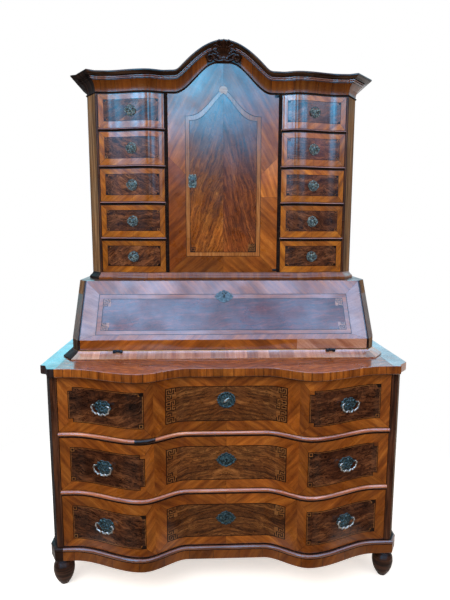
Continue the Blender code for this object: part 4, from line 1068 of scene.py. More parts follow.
def long_front_layout(number, z0, z1):
    """Banding, burr panels, stringing and key frets of one long drawer."""
    ink, joint = look("black", jitter=0), look("black", jitter=0)
    margins = PANEL_MARGINS[number - 1]
    low_z, high_z = z0 + margins[0], z1 - margins[1]
    regions = []
    for sign in SIGNS:
        outer = (*sorted((sign * CREASE, sign * LONG_HALF)), z0, z1)
        inner = (*sorted(sign * x for x in SIDE_PANEL), low_z, high_z)
        flat_tone, upright_tone = SIDE_LEAF_TONES
        turns = (90 - sign * LEAF_SLANT, 90 + sign * LEAF_SLANT)
        uprights = [look("banding", grain, upright_tone, jitter=UPRIGHT_JITTER) for grain in turns]
        right, left = uprights[::sign]
        leaves = (look("banding", -sign * LEAF_SLANT, flat_tone, jitter=BORDER_JITTER), right,
                  look("banding", sign * LEAF_SLANT, flat_tone, jitter=BORDER_JITTER), left)
        regions += mitred_border(outer, inner, leaves, joint)
        burr = look("burr", dice.uniform(-BURR_TURN, BURR_TURN), BURR_TONE, tint=REDDISH)
        regions += framed(inner, burr, ink, light=look(*LIGHT_STRINGING))
        for (corner, signs), rows in zip(corners_of(inner), SIDE_KEYS[number - 1]):
            ground = leaves[0] if rows is NOTCH else look(*NEST_GROUND)
            regions += key_square(rows, corner, signs, NEST_UNIT, ink, ground)
    outer = (-CREASE, CREASE, z0, z1)
    inner = (-CENTRE_PANEL, CENTRE_PANEL, low_z, high_z)
    turns = (LEAF_SLANT, 90 - LEAF_SLANT, -LEAF_SLANT, 90 + LEAF_SLANT)
    leaves = [look("banding", grain, tone, jitter=BORDER_JITTER)
              for grain, tone in zip(turns, CENTRE_LEAF_TONES)]
    regions += mitred_border(outer, inner, leaves, joint)
    spans = ((-LEAF_SLANT, z0, low_z, CREASE, CENTRE_PANEL),
             (LEAF_SLANT, high_z, z1, CENTRE_PANEL, CREASE))
    lighter = [look("banding", span[0], tone) for span, tone in zip(spans, LIGHT_LEAF_TONES)]
    for leaf, (_, start, end, below, above) in zip(lighter, spans):
        regions.append(([(0, start), (below, start), (above, end), (0, end)], leaf))
        regions.append((strip((0, start), (0, end), SEAM), joint))
    tone = PANEL_TONES[number - 1]
    regions += framed(inner, look("flame", PANEL_GRAIN, tone, jitter=0), ink)
    core = rectangle(0, CENTRE_PANEL - STRING, low_z + STRING, high_z - STRING)
    regions.append((core, look("flame", PANEL_GRAIN, tone, mirror=-1, jitter=0)))
    chain_low = (low_z + high_z) / 2 - len(CHAIN) * FRET_UNIT / 2
    for index, (corner, signs) in enumerate(corners_of(inner)):
        regions += key_square(FRET, corner, signs, FRET_UNIT, ink, look(*FRET_GROUND))
        if number == 1 and index % 2:
            place = (corner[0], chain_low)
            regions += key_square(CHAIN, place, (signs[0], 1), FRET_UNIT, ink, look(*FRET_GROUND))
    return regions + gap_shadows(-LONG_HALF, LONG_HALF, z0, z1, RIM, TOP_RIM, joint)


def build_drawer(node, xs, zs, layout, front_y, curve, thickness, steps, box_steps, back_y, wall, floor):
    """A drawer: its inlaid front, then two sides, a back and a bottom that follows the front."""
    (x0, x1), (z0, z1) = xs, zs
    front = Skin()
    outline = rectangle(x0 + EDGE, x1 - EDGE, z0 + EDGE, z1 - EDGE)
    front.inlay(outline, layout, on_front(front_y, curve), upright_lines(spread(x0, x1, steps), z0, z1),
                deep=thickness, ground=look("banding"), back=look("soft", 0), inward=TO_BACK,
                edge_look=look("dark", 0))
    front.build(node + "_front", node, [node])

    def behind(x):
        return front_y(x) + thickness - EDGE

    box = Skin()
    plain = look("soft", 0)
    for start, end, corner in ((x0, x0 + wall, x0), (x1 - wall, x1, x1)):
        box.board((start, behind(corner), z0), (end, back_y, z1), plain)
    box.board((x0 + wall, back_y - wall, z0 + floor), (x1 - wall, back_y - EDGE, z1), look("soft", 90))
    rows = []
    for x in spread(x0, x1, box_steps):
        x = min(max(x, x0 + wall / 2), x1 - wall / 2)
        start, end = behind(x) - EDGE, back_y - EDGE
        rows.append([(x, start, z0), (x, end, z0), (x, end, z0 + floor), (x, start, z0 + floor)])
    box.grid(rows, plain, closed_columns=True, capped=True)
    box.build(node + "_box", node)


def build_long_drawer(number):
    node = f"long_drawer_{number}"
    z0, z1, half = low(node).z, high(node).z, high(node).x
    build_drawer(node, (-half, half), (z0, z1), long_front_layout(number, z0, z1), **LONG_KIND)
    middle = (z0 + z1) / 2
    for side, sign in SIDES:
        x = sign * HANDLE_REACH
        place = handle_frame(x, long_front_y(x), middle, serpentine)
        build_handle(f"{node}_handle_{side}", node, f"long_bail_{number}_{side}", place)
    place = handle_frame(0, long_front_y(0), middle + ESCUTCHEON_RISES[number - 1], serpentine)
    outline = ROUND_SHIELD if number == 1 else POINTED_SHIELD
    build_escutcheon(f"{node}_escutcheon", node, place, outline, "plate", keyhole=number > 1)
    if number == 1:
        build_cover(node, place)


def upright(x, y, z, turn=0.0):
    """A place on a front: local Z points out of it, local Y up."""
    return (Matrix.Translation((x, y, z)) @ Matrix.Rotation(-turn, 4, "Z")
            @ Matrix.Rotation(math.pi / 2, 4, "X"))


def handle_frame(x, y, z, curve):
    return upright(x, y, z, slope_of(curve, x))


# Metalwork. Levels are pairs: share of the outline, share of the sheet's thickness
def petalled(width, height, reach_of, steps):
    """A closed outline, reaching as far at each angle as reach_of says."""
    angles = spread(0, 2 * math.pi, steps)[:-1]
    return [(width / 2 * reach_of(a) * math.cos(a), height / 2 * reach_of(a) * math.sin(a))
            for a in angles]


def lobed(width, height, lobes, share, steps=96, power=2.0):
    """A flower-like outline. A power under 2 draws its ends out to points."""
    def reach(angle):
        swell = 1 - share * (1 - math.cos(lobes * angle)) / 2
        return swell * (abs(math.cos(angle)) ** power + abs(math.sin(angle)) ** power) ** (-1 / power)

    return petalled(width, height, reach, steps)


# The escutcheons' sizes and outlines
ROUND_SIZE = (0.066, 0.060)
POINTED_SIZE = (0.074, 0.056)
CARTOUCHE_SIZE = (0.040, 0.064)
ROUND_SHIELD = lobed(*ROUND_SIZE, 18, 0.05)
POINTED_SHIELD = lobed(*POINTED_SIZE, 12, 0.09, power=1.45)
# A tall shield with a small crown of three points
CROWN = 0.10
CARTOUCHE = petalled(*CARTOUCHE_SIZE, lambda a: (0.88 - CROWN * math.cos(4 * a) + CROWN
                     * max(0, math.sin(a)) ** 3 * math.cos(10 * (a - math.pi / 2))), 72)
SHIELD_LEVELS = ((1.0, -0.1), (1.0, 0.6), (0.95, 1.0), (0.86, 0.95), (0.82, 0.55), (0.66, 0.60),
                 (0.60, 0.95), (0.30, 1.15))
PLATE_LEVELS = ((1.0, -0.1), (1.0, 0.5), (0.965, 1.0), (0.87, 0.8), (0.83, 0.5), (0.70, 0.6),
                (0.64, 1.1), (0.40, 1.3), (0.34, 0.8), (0.20, 0.9), (0.14, 1.6), (0.02, 1.9))
COVER_LEVELS = ((1.0, 0.0), (1.0, 0.5), (0.8, 1.0), (0.4, 1.4), (0.05, 1.5))
BOSS_LEVELS = ((0.34, 1.0), (0.30, 1.5), (0.16, 1.9), (0.03, 2.2))
POST_SHAPE = ((1.7, 0.02), (1.7, 0.10), (1.25, 0.14), (0.80, 0.20), (0.72, 0.50), (0.80, 0.62),
              (1.0, 0.70), (1.0, 0.86), (0.80, 0.95), (0.40, 1.0))
KEY_TIP = 0.8
KEY_SHAPE = ((1.0, 0.25), (1.7, 0.30), (1.7, 0.36), (1.0, 0.42), (0.9, 0.80), (1.4, 0.88), (1.2, 1.0))
KEYHOLE = (0.0036, 0.0022, 0.0125)
KEYHOLE_SHADE = 0.4
SHIELD_EDGE = 0.0001
RIM_BEADS = 20
RIM_BEAD_RADIUS = 0.0019
RIM_BEAD_PLACE = 0.90
COVER_SIZE = (0.0085, 0.026)
COVER_LEAN = math.radians(-52)
COVER_LIFT = 1.1
PLATE_RIB = 0.25
RIB_SPAN = (0.3, 0.95)
PLATE_LOBES = (6, 0.16)
PULL_LOBES = (8, 0.10)
# The small pulls' petal holes: how many, how far out, half their length and half their width
PETALS = 8
PETAL = (0.62, 0.19, 0.15)
PULL_RIM = (0.93, 0.9)
SCALLOPS = 11
SCALLOP_WAVE = 0.0012
# The bails' swelling, and how wide it is: at the scallops and in the middle
SCALLOP_SWELL = 0.22
BAIL_SWELL = (0.25, 0.05)
PULL_SWELL = (0.5, 0.07)


def scaled_outline(outline, share):
    return [(x * share, y * share) for x, y in outline]


def keyhole_outline():
    radius, waist, drop = KEYHOLE
    angles = spread(-math.pi / 3, 4 * math.pi / 3, 14)
    bow = [(radius * math.cos(a), radius * math.sin(a)) for a in angles]
    return bow + [(-waist, -drop), (waist, -drop)]


def raised(place, outline, levels, thickness):
    return [[place @ Vector((x * share, y * share, thickness * level)) for x, y in outline]
            for share, level in levels]


def build_escutcheon(name, body, place, outline, kind, keyhole=False):
    """A chased plate round a keyhole: a rim, a hollow and a raised field."""
    plate = Skin()
    face_look = look(kind, jitter=0)
    share, level = SHIELD_LEVELS[-1]
    plate.grid(raised(place, outline, SHIELD_LEVELS, PLATE_THICKNESS), face_look, closed_columns=True)
    plate.inlay(scaled_outline(outline, share), [(keyhole_outline(), None)] if keyhole else [],
                on_frame(place, PLATE_THICKNESS * level), deep=PLATE_THICKNESS, edge=SHIELD_EDGE,
                ground=face_look)
    plate.build(name, body)
    if keyhole:
        shade = Skin()
        shade.inlay(scaled_outline(outline, KEYHOLE_SHADE), [], on_frame(place, EDGE / 4),
                    ground=look("void", jitter=0))
        shade.build(name + "_keyhole", body)


def build_cover(node, place):
    """The round escutcheon's beaded rim and the bright cover that swings over its keyhole."""
    cover = Skin()
    shine, dull = look("bright", jitter=0), look("silvered", jitter=0)
    dome = [(RIM_BEAD_RADIUS * math.cos(a), RIM_BEAD_RADIUS * math.sin(a))
            for a in spread(0, math.pi / 2, 4)[:-1]]
    for index in range(RIM_BEADS):
        x, y = ROUND_SHIELD[index * len(ROUND_SHIELD) // RIM_BEADS]
        spot = Matrix.Translation((x * RIM_BEAD_PLACE, y * RIM_BEAD_PLACE, PLATE_THICKNESS / 2))
        cover.turned(dome, place @ spot, dull, 10)
    turn = Matrix.Translation((0, 0, COVER_LIFT * PLATE_THICKNESS)) @ Matrix.Rotation(COVER_LEAN, 4, "Z")
    rows = raised(place @ turn, lobed(*COVER_SIZE, 2, 0.0, 32), COVER_LEVELS, PLATE_THICKNESS)
    cover.grid(rows, shine, closed_columns=True, capped=True)
    cover.build(node + "_lock_cover", node)


def plate_rows(place, size, steps=96):
    width, height, thick = size
    lobes = PLATE_LOBES[0]
    outline = lobed(width, height, *PLATE_LOBES, steps)
    rows = []
    for reach, level in PLATE_LEVELS:
        rib = PLATE_RIB * (RIB_SPAN[0] < reach < RIB_SPAN[1])
        row = []
        for index, (x, y) in enumerate(outline):
            height = thick * (level + rib * math.cos(4 * math.pi * lobes * index / steps))
            row.append(place @ Vector((x * reach, y * reach, height)))
        rows.append(row)
    return rows


def add_posts(carrier, place, post, rise, post_look, sides):
    apart, radius, length = post
    profile = [(radius * r, length * z) for r, z in POST_SHAPE]
    for sign in SIGNS:
        spot = place @ Matrix.Translation((sign * apart / 2, rise, 0))
        carrier.turned(profile, spot, post_look, sides)


def build_bail(body, place, size, post, rise, wave, radius, bail_look, sides):
    """A hanging bail from one post's side to the other's, with a scalloped lower edge."""
    width, drop, wire = size
    inner = post[0] / 2 + post[1] + FIT
    right = [(inner, 0), (inner + wire, 0)] + [(width / 2 * x, -drop * y) for x, y in BAIL_SHARES]
    left = [(-x, y) for x, y in right[:-1]]
    line = softened(left + right[::-1], 10)
    waved = []
    for index, (x, y) in enumerate(line):
        share = index / (len(line) - 1)
        swing = wave * math.sin(math.pi * share) ** 2 * math.cos(2 * math.pi * SCALLOPS * share)
        pull = 1 + swing / max(math.hypot(x, y), wire)
        waved.append((x * pull, y * pull, 0))
    bail = Skin()
    axis = place @ Matrix.Translation((0, rise, post[2] - post[1]))
    bail.tube(waved, lambda share: wire * radius(share), bail_look, axis, sides)
    bail.build(body + "_wire", body, [body])


def hump(share, size, width):
    return size * math.exp(-((share - 0.5) / width) ** 2)


def build_handle(name, body, bail_body, place):
    """A large drop handle: lobed plate, two posts, and a bright scalloped bail."""
    carrier = Skin()
    dark = look("plate", jitter=0)
    carrier.grid(plate_rows(place, HANDLE_PLATE), dark, closed_columns=True, capped=True)
    add_posts(carrier, place, HANDLE_POST, HANDLE_RISE, dark, 16)
    carrier.build(name, body)

    def radius(share):
        swell = SCALLOP_SWELL * math.cos(2 * math.pi * SCALLOPS * share) * math.sin(math.pi * share)
        return 1.0 + swell + hump(share, *BAIL_SWELL)

    build_bail(bail_body, place, HANDLE_BAIL, HANDLE_POST, HANDLE_RISE, SCALLOP_WAVE, radius,
               look("bright", jitter=0), 12)


def build_pull(name, body, bail_body, place):
    """A small pull: a pierced round plate with a drop bail that hugs it."""
    carrier = Skin()
    green = look("verdigris", jitter=0)
    width, _, thick = PULL_PLATE
    radius = width / 2
    out, long, wide = PETAL
    holes = []
    for index in range(PETALS):
        turn = Matrix.Rotation((index + 0.5) * 2 * math.pi / PETALS, 2)
        petal = [turn @ Vector((radius * out + x * long, y * wide)) for x, y in ring(radius, 10)]
        holes.append(([tuple(point) for point in petal], None))
    carrier.inlay(lobed(width, width, *PULL_LOBES, 64), holes, on_frame(place, thick), deep=thick,
                  edge=EDGE / 3, ground=green)
    carrier.turned([(radius * r, thick * z) for r, z in BOSS_LEVELS], place, green, 20)
    reach, wire = PULL_RIM
    carrier.tube([(x, y, thick) for x, y in ring(radius * reach, 48)], lambda share: EDGE * wire, green,
                 place, 8, closed=True)
    add_posts(carrier, place, PULL_POST, PULL_RISE, green, 12)
    carrier.build(name, body)
    build_bail(bail_body, place, PULL_BAIL, PULL_POST, PULL_RISE, 0.0,
               lambda share: 1 + hump(share, *PULL_SWELL), green, 10)


def build_key(node, place):
    """A key in its lock: shank, collar and ring bow."""
    key = Skin()
    steel = look("steel", jitter=0)
    shank = [(KEY_TIP, -KEY_DEPTH), (1.0, -KEY_DEPTH + EDGE)]
    shank += [(r, KEY_LENGTH * z) for r, z in KEY_SHAPE]
    key.turned([(KEY_RADIUS * r, z) for r, z in shank], place, steel, 16)
    major = KEY_BOW_RADIUS - KEY_BOW_WIRE
    centre = KEY_LENGTH + major - KEY_BOW_WIRE
    bow = [(x, 0, z) for x, z in ring(major, 28, (0, centre))]
    key.tube(bow, lambda share: KEY_BOW_WIRE, steel, place, 10, closed=True, lift=(0, 1, 0))
    key.build(node + "_bow", node, [node])


def sweep(skin, plan, profile, low_of, high_of, look_of, inner=None, reach=None):
    """A moulding round a plan line. Each profile point is (proud, share of the height).

    reach(x, mitre) turns a point's mitre vector into how far it stands out for a proud of one.
    """
    rows = []
    for index, ((x, y), mitre) in enumerate(zip(plan, outward(plan))):
        base = low_of(x)
        height = high_of(x) - base
        if reach:
            mitre = reach(x, mitre)
        row = [(x + mitre.x * proud, y + mitre.y * proud, base + height * level)
               for proud, level in profile]
        if inner:
            row = [(*inner[index], base)] + row + [(*inner[index], base + height)]
        rows.append(row)
    skin.grid(rows, look_of, closed_columns=bool(inner), capped=bool(inner))
    return rows


def constant(level):
    return lambda x: level


def inner_line(plan, inset):
    """A plan line this far inside another, kept from folding at the corners."""
    reach = max(abs(x) for x, _ in plan) - inset
    return [(max(min(x, reach), -reach), min(y + inset, BACK_Y)) for x, y in plan]


FOOT_SHAPE = ((0.80, 1.0), (0.88, 0.97), (0.90, 0.93), (0.82, 0.89), (0.66, 0.86), (0.66, 0.83),
              (0.80, 0.77), (0.94, 0.68), (1.0, 0.57), (0.99, 0.46), (0.92, 0.34), (0.80, 0.22),
              (0.64, 0.12), (0.50, 0.05), (0.40, 0.0))
FOOT_RINGS = 7
RING_DEPTH = 0.020
RING_SPAN = (0.3, 0.75)


def build_feet():
    """Turned onion feet with fine rings."""
    profile = softened(FOOT_SHAPE, 4)
    for side, _ in SIDES:
        for row in ("front", "back"):
            node = f"foot_{row}_{side}"
            lowest, highest = low(node), high(node)
            middle = (lowest + highest) / 2
            radius, height = (highest.x - lowest.x) / 2, highest.z - lowest.z
            line = []
            for r, z in profile:
                wave = max(0.0, math.cos(2 * math.pi * z * FOOT_RINGS)) ** 8
                groove = RING_DEPTH * wave * (RING_SPAN[0] < z < RING_SPAN[1])
                line.append((radius * (r - groove), height * z))
            foot = Skin()
            place = Matrix.Translation((middle.x, middle.y, lowest.z))
            foot.turned(line[::-1], place, look("foot", 90), 48)
            foot.build(node + "_turned", "case", [node])


# How many of a lip's faces, from below, are in its shade
BEAD_SHADE = 4
LIP_SHADE = 6
# Tones of the lips between the drawers, lit, shaded and mended, and of the plinth's lip and of its
# painted shade on the left end, under the lip and behind it
LIP_TONES = (1.15, 0.50, 0.6)
PLINTH_TONES = (0.46, 0.8)
# A stretch of the upper lip that has been mended
MEND = (-0.315, -0.245)


def lipped_rows(xs, front_y, proud, back_y, z0, z1):
    """Sections of a board whose front edge is a half-round lip that follows a curve."""
    rows = []
    for x in xs:
        row = [(x, back_y, z0)]
        for angle in spread(-math.pi / 2, math.pi / 2, BEAD_STEPS):
            height = (z0 + z1) / 2 + (z1 - z0) / 2 * math.sin(angle)
            row.append((x, front_y(x) - proud * math.cos(angle), height))
        rows.append(row + [(x, back_y, z1)])
    return rows


def lip_part(column, plain, shaded, lip, shade):
    if column in (0, BEAD_STEPS + 1, BEAD_STEPS + 2):
        return plain
    return shaded if column <= shade else lip


def build_dust_boards():
    """The boards between the long drawers, each with a half-round lip."""
    lit, dim, mended = LIP_TONES
    for node, mend in (("upper_dust_board", MEND), ("lower_dust_board", (0, 0))):
        xs = spread(-LONG_HALF, LONG_HALF, LONG_STEPS)
        rows = lipped_rows(xs, long_front_y, BEAD_PROUD, INNER_BACK_Y, low(node).z, high(node).z)
        plain, lip, under = look("soft", 0), look("bead", 0, lit), look("bead", 0, dim)
        dark = look("carved", 0, mended)

        def look_of(row, column):
            shades = (dark, dark) if mend[0] < xs[row] < mend[1] else (under, lip)
            return lip_part(column, plain, *shades, BEAD_SHADE)

        rail = Skin()
        rail.grid(rows, look_of, closed_columns=True, capped=True)
        rail.build(node + "_rail", "case", [node])


def build_plinth():
    """The base frame: a half-round lip over a cross-banded band."""
    band = PLINTH_BAND_HEIGHT / (PLINTH_TOP - PLINTH_LOW)
    rim = (PLINTH_PROUD, EDGE / PLINTH_BAND_HEIGHT)
    profile = [(PLINTH_PROUD - EDGE, 0.0), rim, (PLINTH_PROUD, band)]
    for angle in spread(-math.pi / 2, math.pi / 2, BEAD_STEPS)[1:]:
        level = (1 + band) / 2 + (1 - band) / 2 * math.sin(angle)
        profile.append((BEAD_PROUD * (1 + math.cos(angle)), level))
    plan, leaves = jointed(commode_plan(), *PLINTH_LEAVES)
    lip_tone, plinth_shade_tone = PLINTH_TONES
    lip, plain, shaded = look("bead", 0, lip_tone), look("soft", 90), look("foot", 90, plinth_shade_tone)

    def look_of(row, column):
        # Painted shade on the left end, on the lip's lower faces and on the strip behind the lip
        if plan[row][0] < -LONG_HALF - STRING and 1 <= column <= BEAD_STEPS + 2:
            return shaded
        if 1 <= column <= 2:
            return leaves[min(row, len(leaves) - 1)]
        if column in (3, 4, BEAD_STEPS + 3):
            return shaded
        return lip if 5 <= column <= BEAD_STEPS + 2 else plain

    plinth = Skin()
    sweep(plinth, plan, profile, constant(PLINTH_LOW), constant(PLINTH_TOP), look_of,
          inner_line(plan, PLINTH_RAIL_WIDTH))
    plinth.build("plinth_frame", "case", ["plinth"])


def inset_polygon(points, distance):
    """A polygon moved in by a distance, its corners mitred. The points run anticlockwise."""
    moved = []
    count = len(points)
    for index in range(count):
        before, here, after = (Vector(points[(index + k) % count]) for k in (-1, 0, 1))
        first, second = (here - before).normalized(), (after - here).normalized()
        a, b = Vector((-first.y, first.x)), Vector((-second.y, second.x))
        moved.append(tuple(here + (a + b) / (1 + a.dot(b)) * distance))
    return moved


TOP_PROFILE = ((0.55, 0.0), (0.78, 0.02), (0.90, 0.06), (0.97, 0.13), (1.0, 0.22), (1.0, 0.50),
               (1.0, 0.90), (0.992, 0.975), (0.965, 1.0))
# The veneered field of the top: half its width, its front and its back
TOP_FIELD = 0.585
TOP_FRONT = -0.19
TOP_BACK = 0.30
# Painted shade on the top's left corner: near black and tinted blue, for the dark surroundings mirrored
# on that side
TOP_CORNER = ("stained", 90, 1.8, (0.9, 1.0, 1.2))
TOP_BORDER = ("flame", 8, 1.20)
TOP_GRAIN = 24
# Further to the front than the top reaches
PAST_FRONT = -1


def slab(node, plan, profile, leaves, top_regions, ground, under, reach=None):
    """A board with a moulded edge: the edge, its veneered top, its underside and its back."""
    z0, z1 = low(node).z, high(node).z
    skin = Skin()
    rows = sweep(skin, plan, profile, constant(z0), constant(z1), lambda row, column: leaves[row],
                 reach=reach)
    top, bottom = [[row[level][:2] for row in rows] for level in (-1, 0)]
    skin.inlay(top, top_regions, on_plane((0, 0, z1), (1, 0, 0), (0, 1, 0)), ground=ground)
    skin.inlay(bottom, [], lambda u, v: (Vector((u, v, z0)), Vector((0, 0, -1))), ground=under)
    start = skin.add_points(rows[0] + rows[-1][::-1])
    corners = list(range(start, start + 2 * len(profile)))[::-1]
    skin.face(corners, under, [(skin.points[c].x, skin.points[c].z) for c in corners])
    skin.build(node + "_board", "case", [node])


def build_commode_top():
    profile = [(TOP_OVERHANG_FRONT * proud, level) for proud, level in TOP_PROFILE]
    plan, leaves = jointed(commode_plan(), *TOP_LEAVES)
    corner = look(*TOP_CORNER)
    leaves = [corner if x < -LONG_HALF - STRING else leaf for leaf, (x, _) in zip(leaves, plan)]
    joint = look("black", jitter=0)
    ground, under = look(*TOP_BORDER), look("soft", 0)
    regions = []
    for sign in SIGNS:
        xs = sorted((0, sign * TOP_FIELD))
        half = rectangle(*xs, PAST_FRONT, TOP_BACK)
        regions.append((half, look("top", TOP_GRAIN, mirror=sign, jitter=0)))
        end = (sign * TOP_FIELD, TOP_BACK)
        regions.append((strip((sign * TOP_FIELD, TOP_FRONT), end, STRING), joint))
    regions.append((strip((-TOP_FIELD, TOP_FRONT), (TOP_FIELD, TOP_FRONT), STRING), joint))
    regions.append((strip((0, PAST_FRONT), (0, TOP_BACK), SEAM), joint))
    slab("commode_top", plan, profile, leaves, regions, ground, under, top_reach)


def top_reach(x, mitre):
    """The top overhangs less at its sides, and its canted corners are wider than the body's."""
    if LONG_HALF + FIT < abs(x) < BODY_HALF - FIT:
        inset = math.copysign(BODY_HALF - BODY_CANT[0], x) - x
        return Vector((inset, mitre.y))
    return Vector((mitre.x * TOP_OVERHANG_SIDE / TOP_OVERHANG_FRONT, mitre.y))


def veneer_sheet(name, outline, regions, place, ground):
    sheet = Skin()
    sheet.inlay(outline, regions, place, deep=SHEET, edge=SHEET / 2, ground=ground)
    sheet.build(name, "case")


def side_plane(sign, half):
    """The outer face of a side: u runs to the right of someone who faces it, v up."""
    return on_plane((sign * (half + SHEET), 0, 0), (0, sign, 0), (0, 0, 1))


# The commode's and the cabinet's side: half width, front, lowest and highest level, width of the border
SIDE_ROWS = (
    ("commode", BODY_HALF, BODY_END_Y + BODY_CANT[1], PLINTH_TOP + FIT, COMMODE_HEIGHT, 0.060),
    ("cabinet", UPPER_HALF, STILE_Y + UPPER_CANT[1], DOOR_BOTTOM + FIT, CASE_TOP, 0.030))
DESK_BORDER = 0.050
SIDE_LEAF_TONE = 0.92
SIDE_BURR_TONE = 1.1
SIDE_BURR_GRAIN = 90
DESK_BURR_GRAIN = 40
DESK_SIDE_GROUND = ("frieze", 90, 0.95)
# The canted corners: half width, cant, front at the foot and at the head, lowest and highest level
CANT_ROWS = (
    ("commode", BODY_HALF, BODY_CANT, BODY_END_Y, BODY_END_Y, PLINTH_TOP + FIT, COMMODE_HEIGHT),
    ("desk_foot", DESK_HALF, DESK_CANT, LID_Y, LID_Y, LID_BOTTOM, KNEE),
    ("desk", DESK_HALF, DESK_CANT, LID_Y, LID_TOP_Y, KNEE, DESK_HEIGHT),
    ("cabinet", UPPER_HALF, UPPER_CANT, STILE_Y, STILE_Y, DOOR_BOTTOM + FIT, CASE_TOP))
CANT_EDGE = 0.0045
# Painted shade darkens the left of the commode and of the desk's foot, for the dark surroundings
# mirrored on that side; olive walnut elsewhere
CANT_TONES = {("commode", -1): ("stained", 1.1), ("desk_foot", -1): ("cant", 0.25),
              ("commode", 1): ("cant", 0.6), ("desk_foot", 1): ("cant", 0.7),
              ("desk", -1): ("cant", 1.0), ("desk", 1): ("cant", 1.0),
              ("cabinet", -1): ("cant", 0.95), ("cabinet", 1): ("cant", 0.95)}


def build_side_veneers():
    """Banded burr panels on the sides and plain veneer on the canted corners."""
    ink = look("black", jitter=0)
    for side, sign in SIDES:
        for label, half, front_y, z0, z1, border in SIDE_ROWS:
            us = sorted((sign * front_y, sign * BACK_Y))
            outer = (us[0] + EDGE, us[1] - EDGE, z0 + EDGE, z1 - EDGE)
            inner = (us[0] + border, us[1] - border, z0 + border, z1 - border)
            leaves = [look("frieze", grain, SIDE_LEAF_TONE) for grain in (90, 0, 90, 0)]
            regions = mitred_border(outer, inner, leaves, ink)
            regions += framed(inner, look("side_burr", SIDE_BURR_GRAIN, SIDE_BURR_TONE), ink)
            veneer_sheet(f"{label}_side_veneer_{side}", rectangle(*outer), regions,
                         side_plane(sign, half), look("frieze"))
        build_desk_side(side, sign, ink)
        for row in CANT_ROWS:
            build_cant(side, sign, *row)


def build_desk_side(side, sign, ink):
    base = TOP_HEIGHT + FIT
    line = [(lid_line_y(z) + DESK_CANT[1], z) for z in (base, KNEE, DESK_HEIGHT)]
    line = [(sign * y, z) for y, z in line + [(BACK_Y, DESK_HEIGHT), (BACK_Y, base)]]
    outline = inset_polygon(line[::-sign], EDGE)
    panel = inset_polygon(outline, DESK_BORDER)
    burr = look("side_burr", DESK_BURR_GRAIN, SIDE_BURR_TONE)
    regions = [(panel, ink), (inset_polygon(panel, STRING), burr)]
    veneer_sheet("desk_side_veneer_" + side, outline, regions, side_plane(sign, DESK_HALF),
                 look(*DESK_SIDE_GROUND))


def build_cant(side, sign, label, half, cant, y0, y1, z0, z1):
    """One canted corner's sheet, its long edges darkened with painted shade for the gaps beside it."""
    corners = (Vector((sign * (half - cant[0]), y0, z0)), Vector((sign * half, y0 + cant[1], z0)))
    left, right = corners[::sign]
    across, up = right - left, Vector((0, y1 - y0, z1 - z0))
    width, height = across.length, up.length
    across.normalize()
    up.normalize()
    place = on_plane(left + across.cross(up).normalized() * SHEET, across, up)
    dark = look("stained", 90)
    edges = [(strip((u, 0), (u, height), 2 * CANT_EDGE), dark) for u in (0, width)]
    kind, tone = CANT_TONES[label, sign]
    outline = rectangle(EDGE, width - EDGE, EDGE, height - EDGE)
    veneer_sheet(f"{label}_cant_veneer_{side}", outline, edges, place, look(kind, 90, tone))


# Desk section
def lid_line_y(z):
    return LID_Y + max(z - KNEE, 0.0) / math.tan(SLOPE)


def on_lid(x, run):
    """The fall's face: run is measured up the knee and then up the slope."""
    if run < KNEE_HEIGHT:
        return Vector((x, LID_Y, LID_BOTTOM + run)), Vector((0, -1, 0))
    up = run - KNEE_HEIGHT
    place = Vector((x, LID_Y + up * math.cos(SLOPE), KNEE + up * math.sin(SLOPE)))
    return place, Vector((0, -math.sin(SLOPE), math.cos(SLOPE)))


# The fall's band, outside and inside: half its width, where it starts and where it ends up the face
LID_BAND_OUTER = (0.480, 0.0600, 0.2306)
LID_BAND_INNER = (0.462, 0.0775, 0.2110)
KNEE_JOINTS = (-0.541, -0.30, 0.0, 0.27, 0.541)
KNEE_SLANT = 40
KNEE_TONE = 1.22
# Right of this place the knee's leaves are faded
KNEE_PALE = 0.2
# Width of the painted shadow down each end of the fall
LID_END_LINE = 0.0045
# The border's four leaves: kind, grain and tone
LID_LEAVES = (("banding", 52, 0.86), ("ledge", 24, 0.60), ("banding", -52, 0.86), ("ledge", -24, 0.62))
LID_BAND_TONE = 0.84
LID_PANEL = ("fall_flame", 6, 0.55, (1.1, 0.55, 0.80))
BARREL_SHAPE = ((0.8, 0.03), (1, 0.08), (1, 0.92), (0.8, 0.97))
# A hinge's strap: half its width as a share of a knuckle, its place and its drop as shares of the
# hinge's offset and radius
STRAP_SHARE = 0.4
STRAP_SPAN = (1.4, 0.6)
STRAP_DROP = 2.2


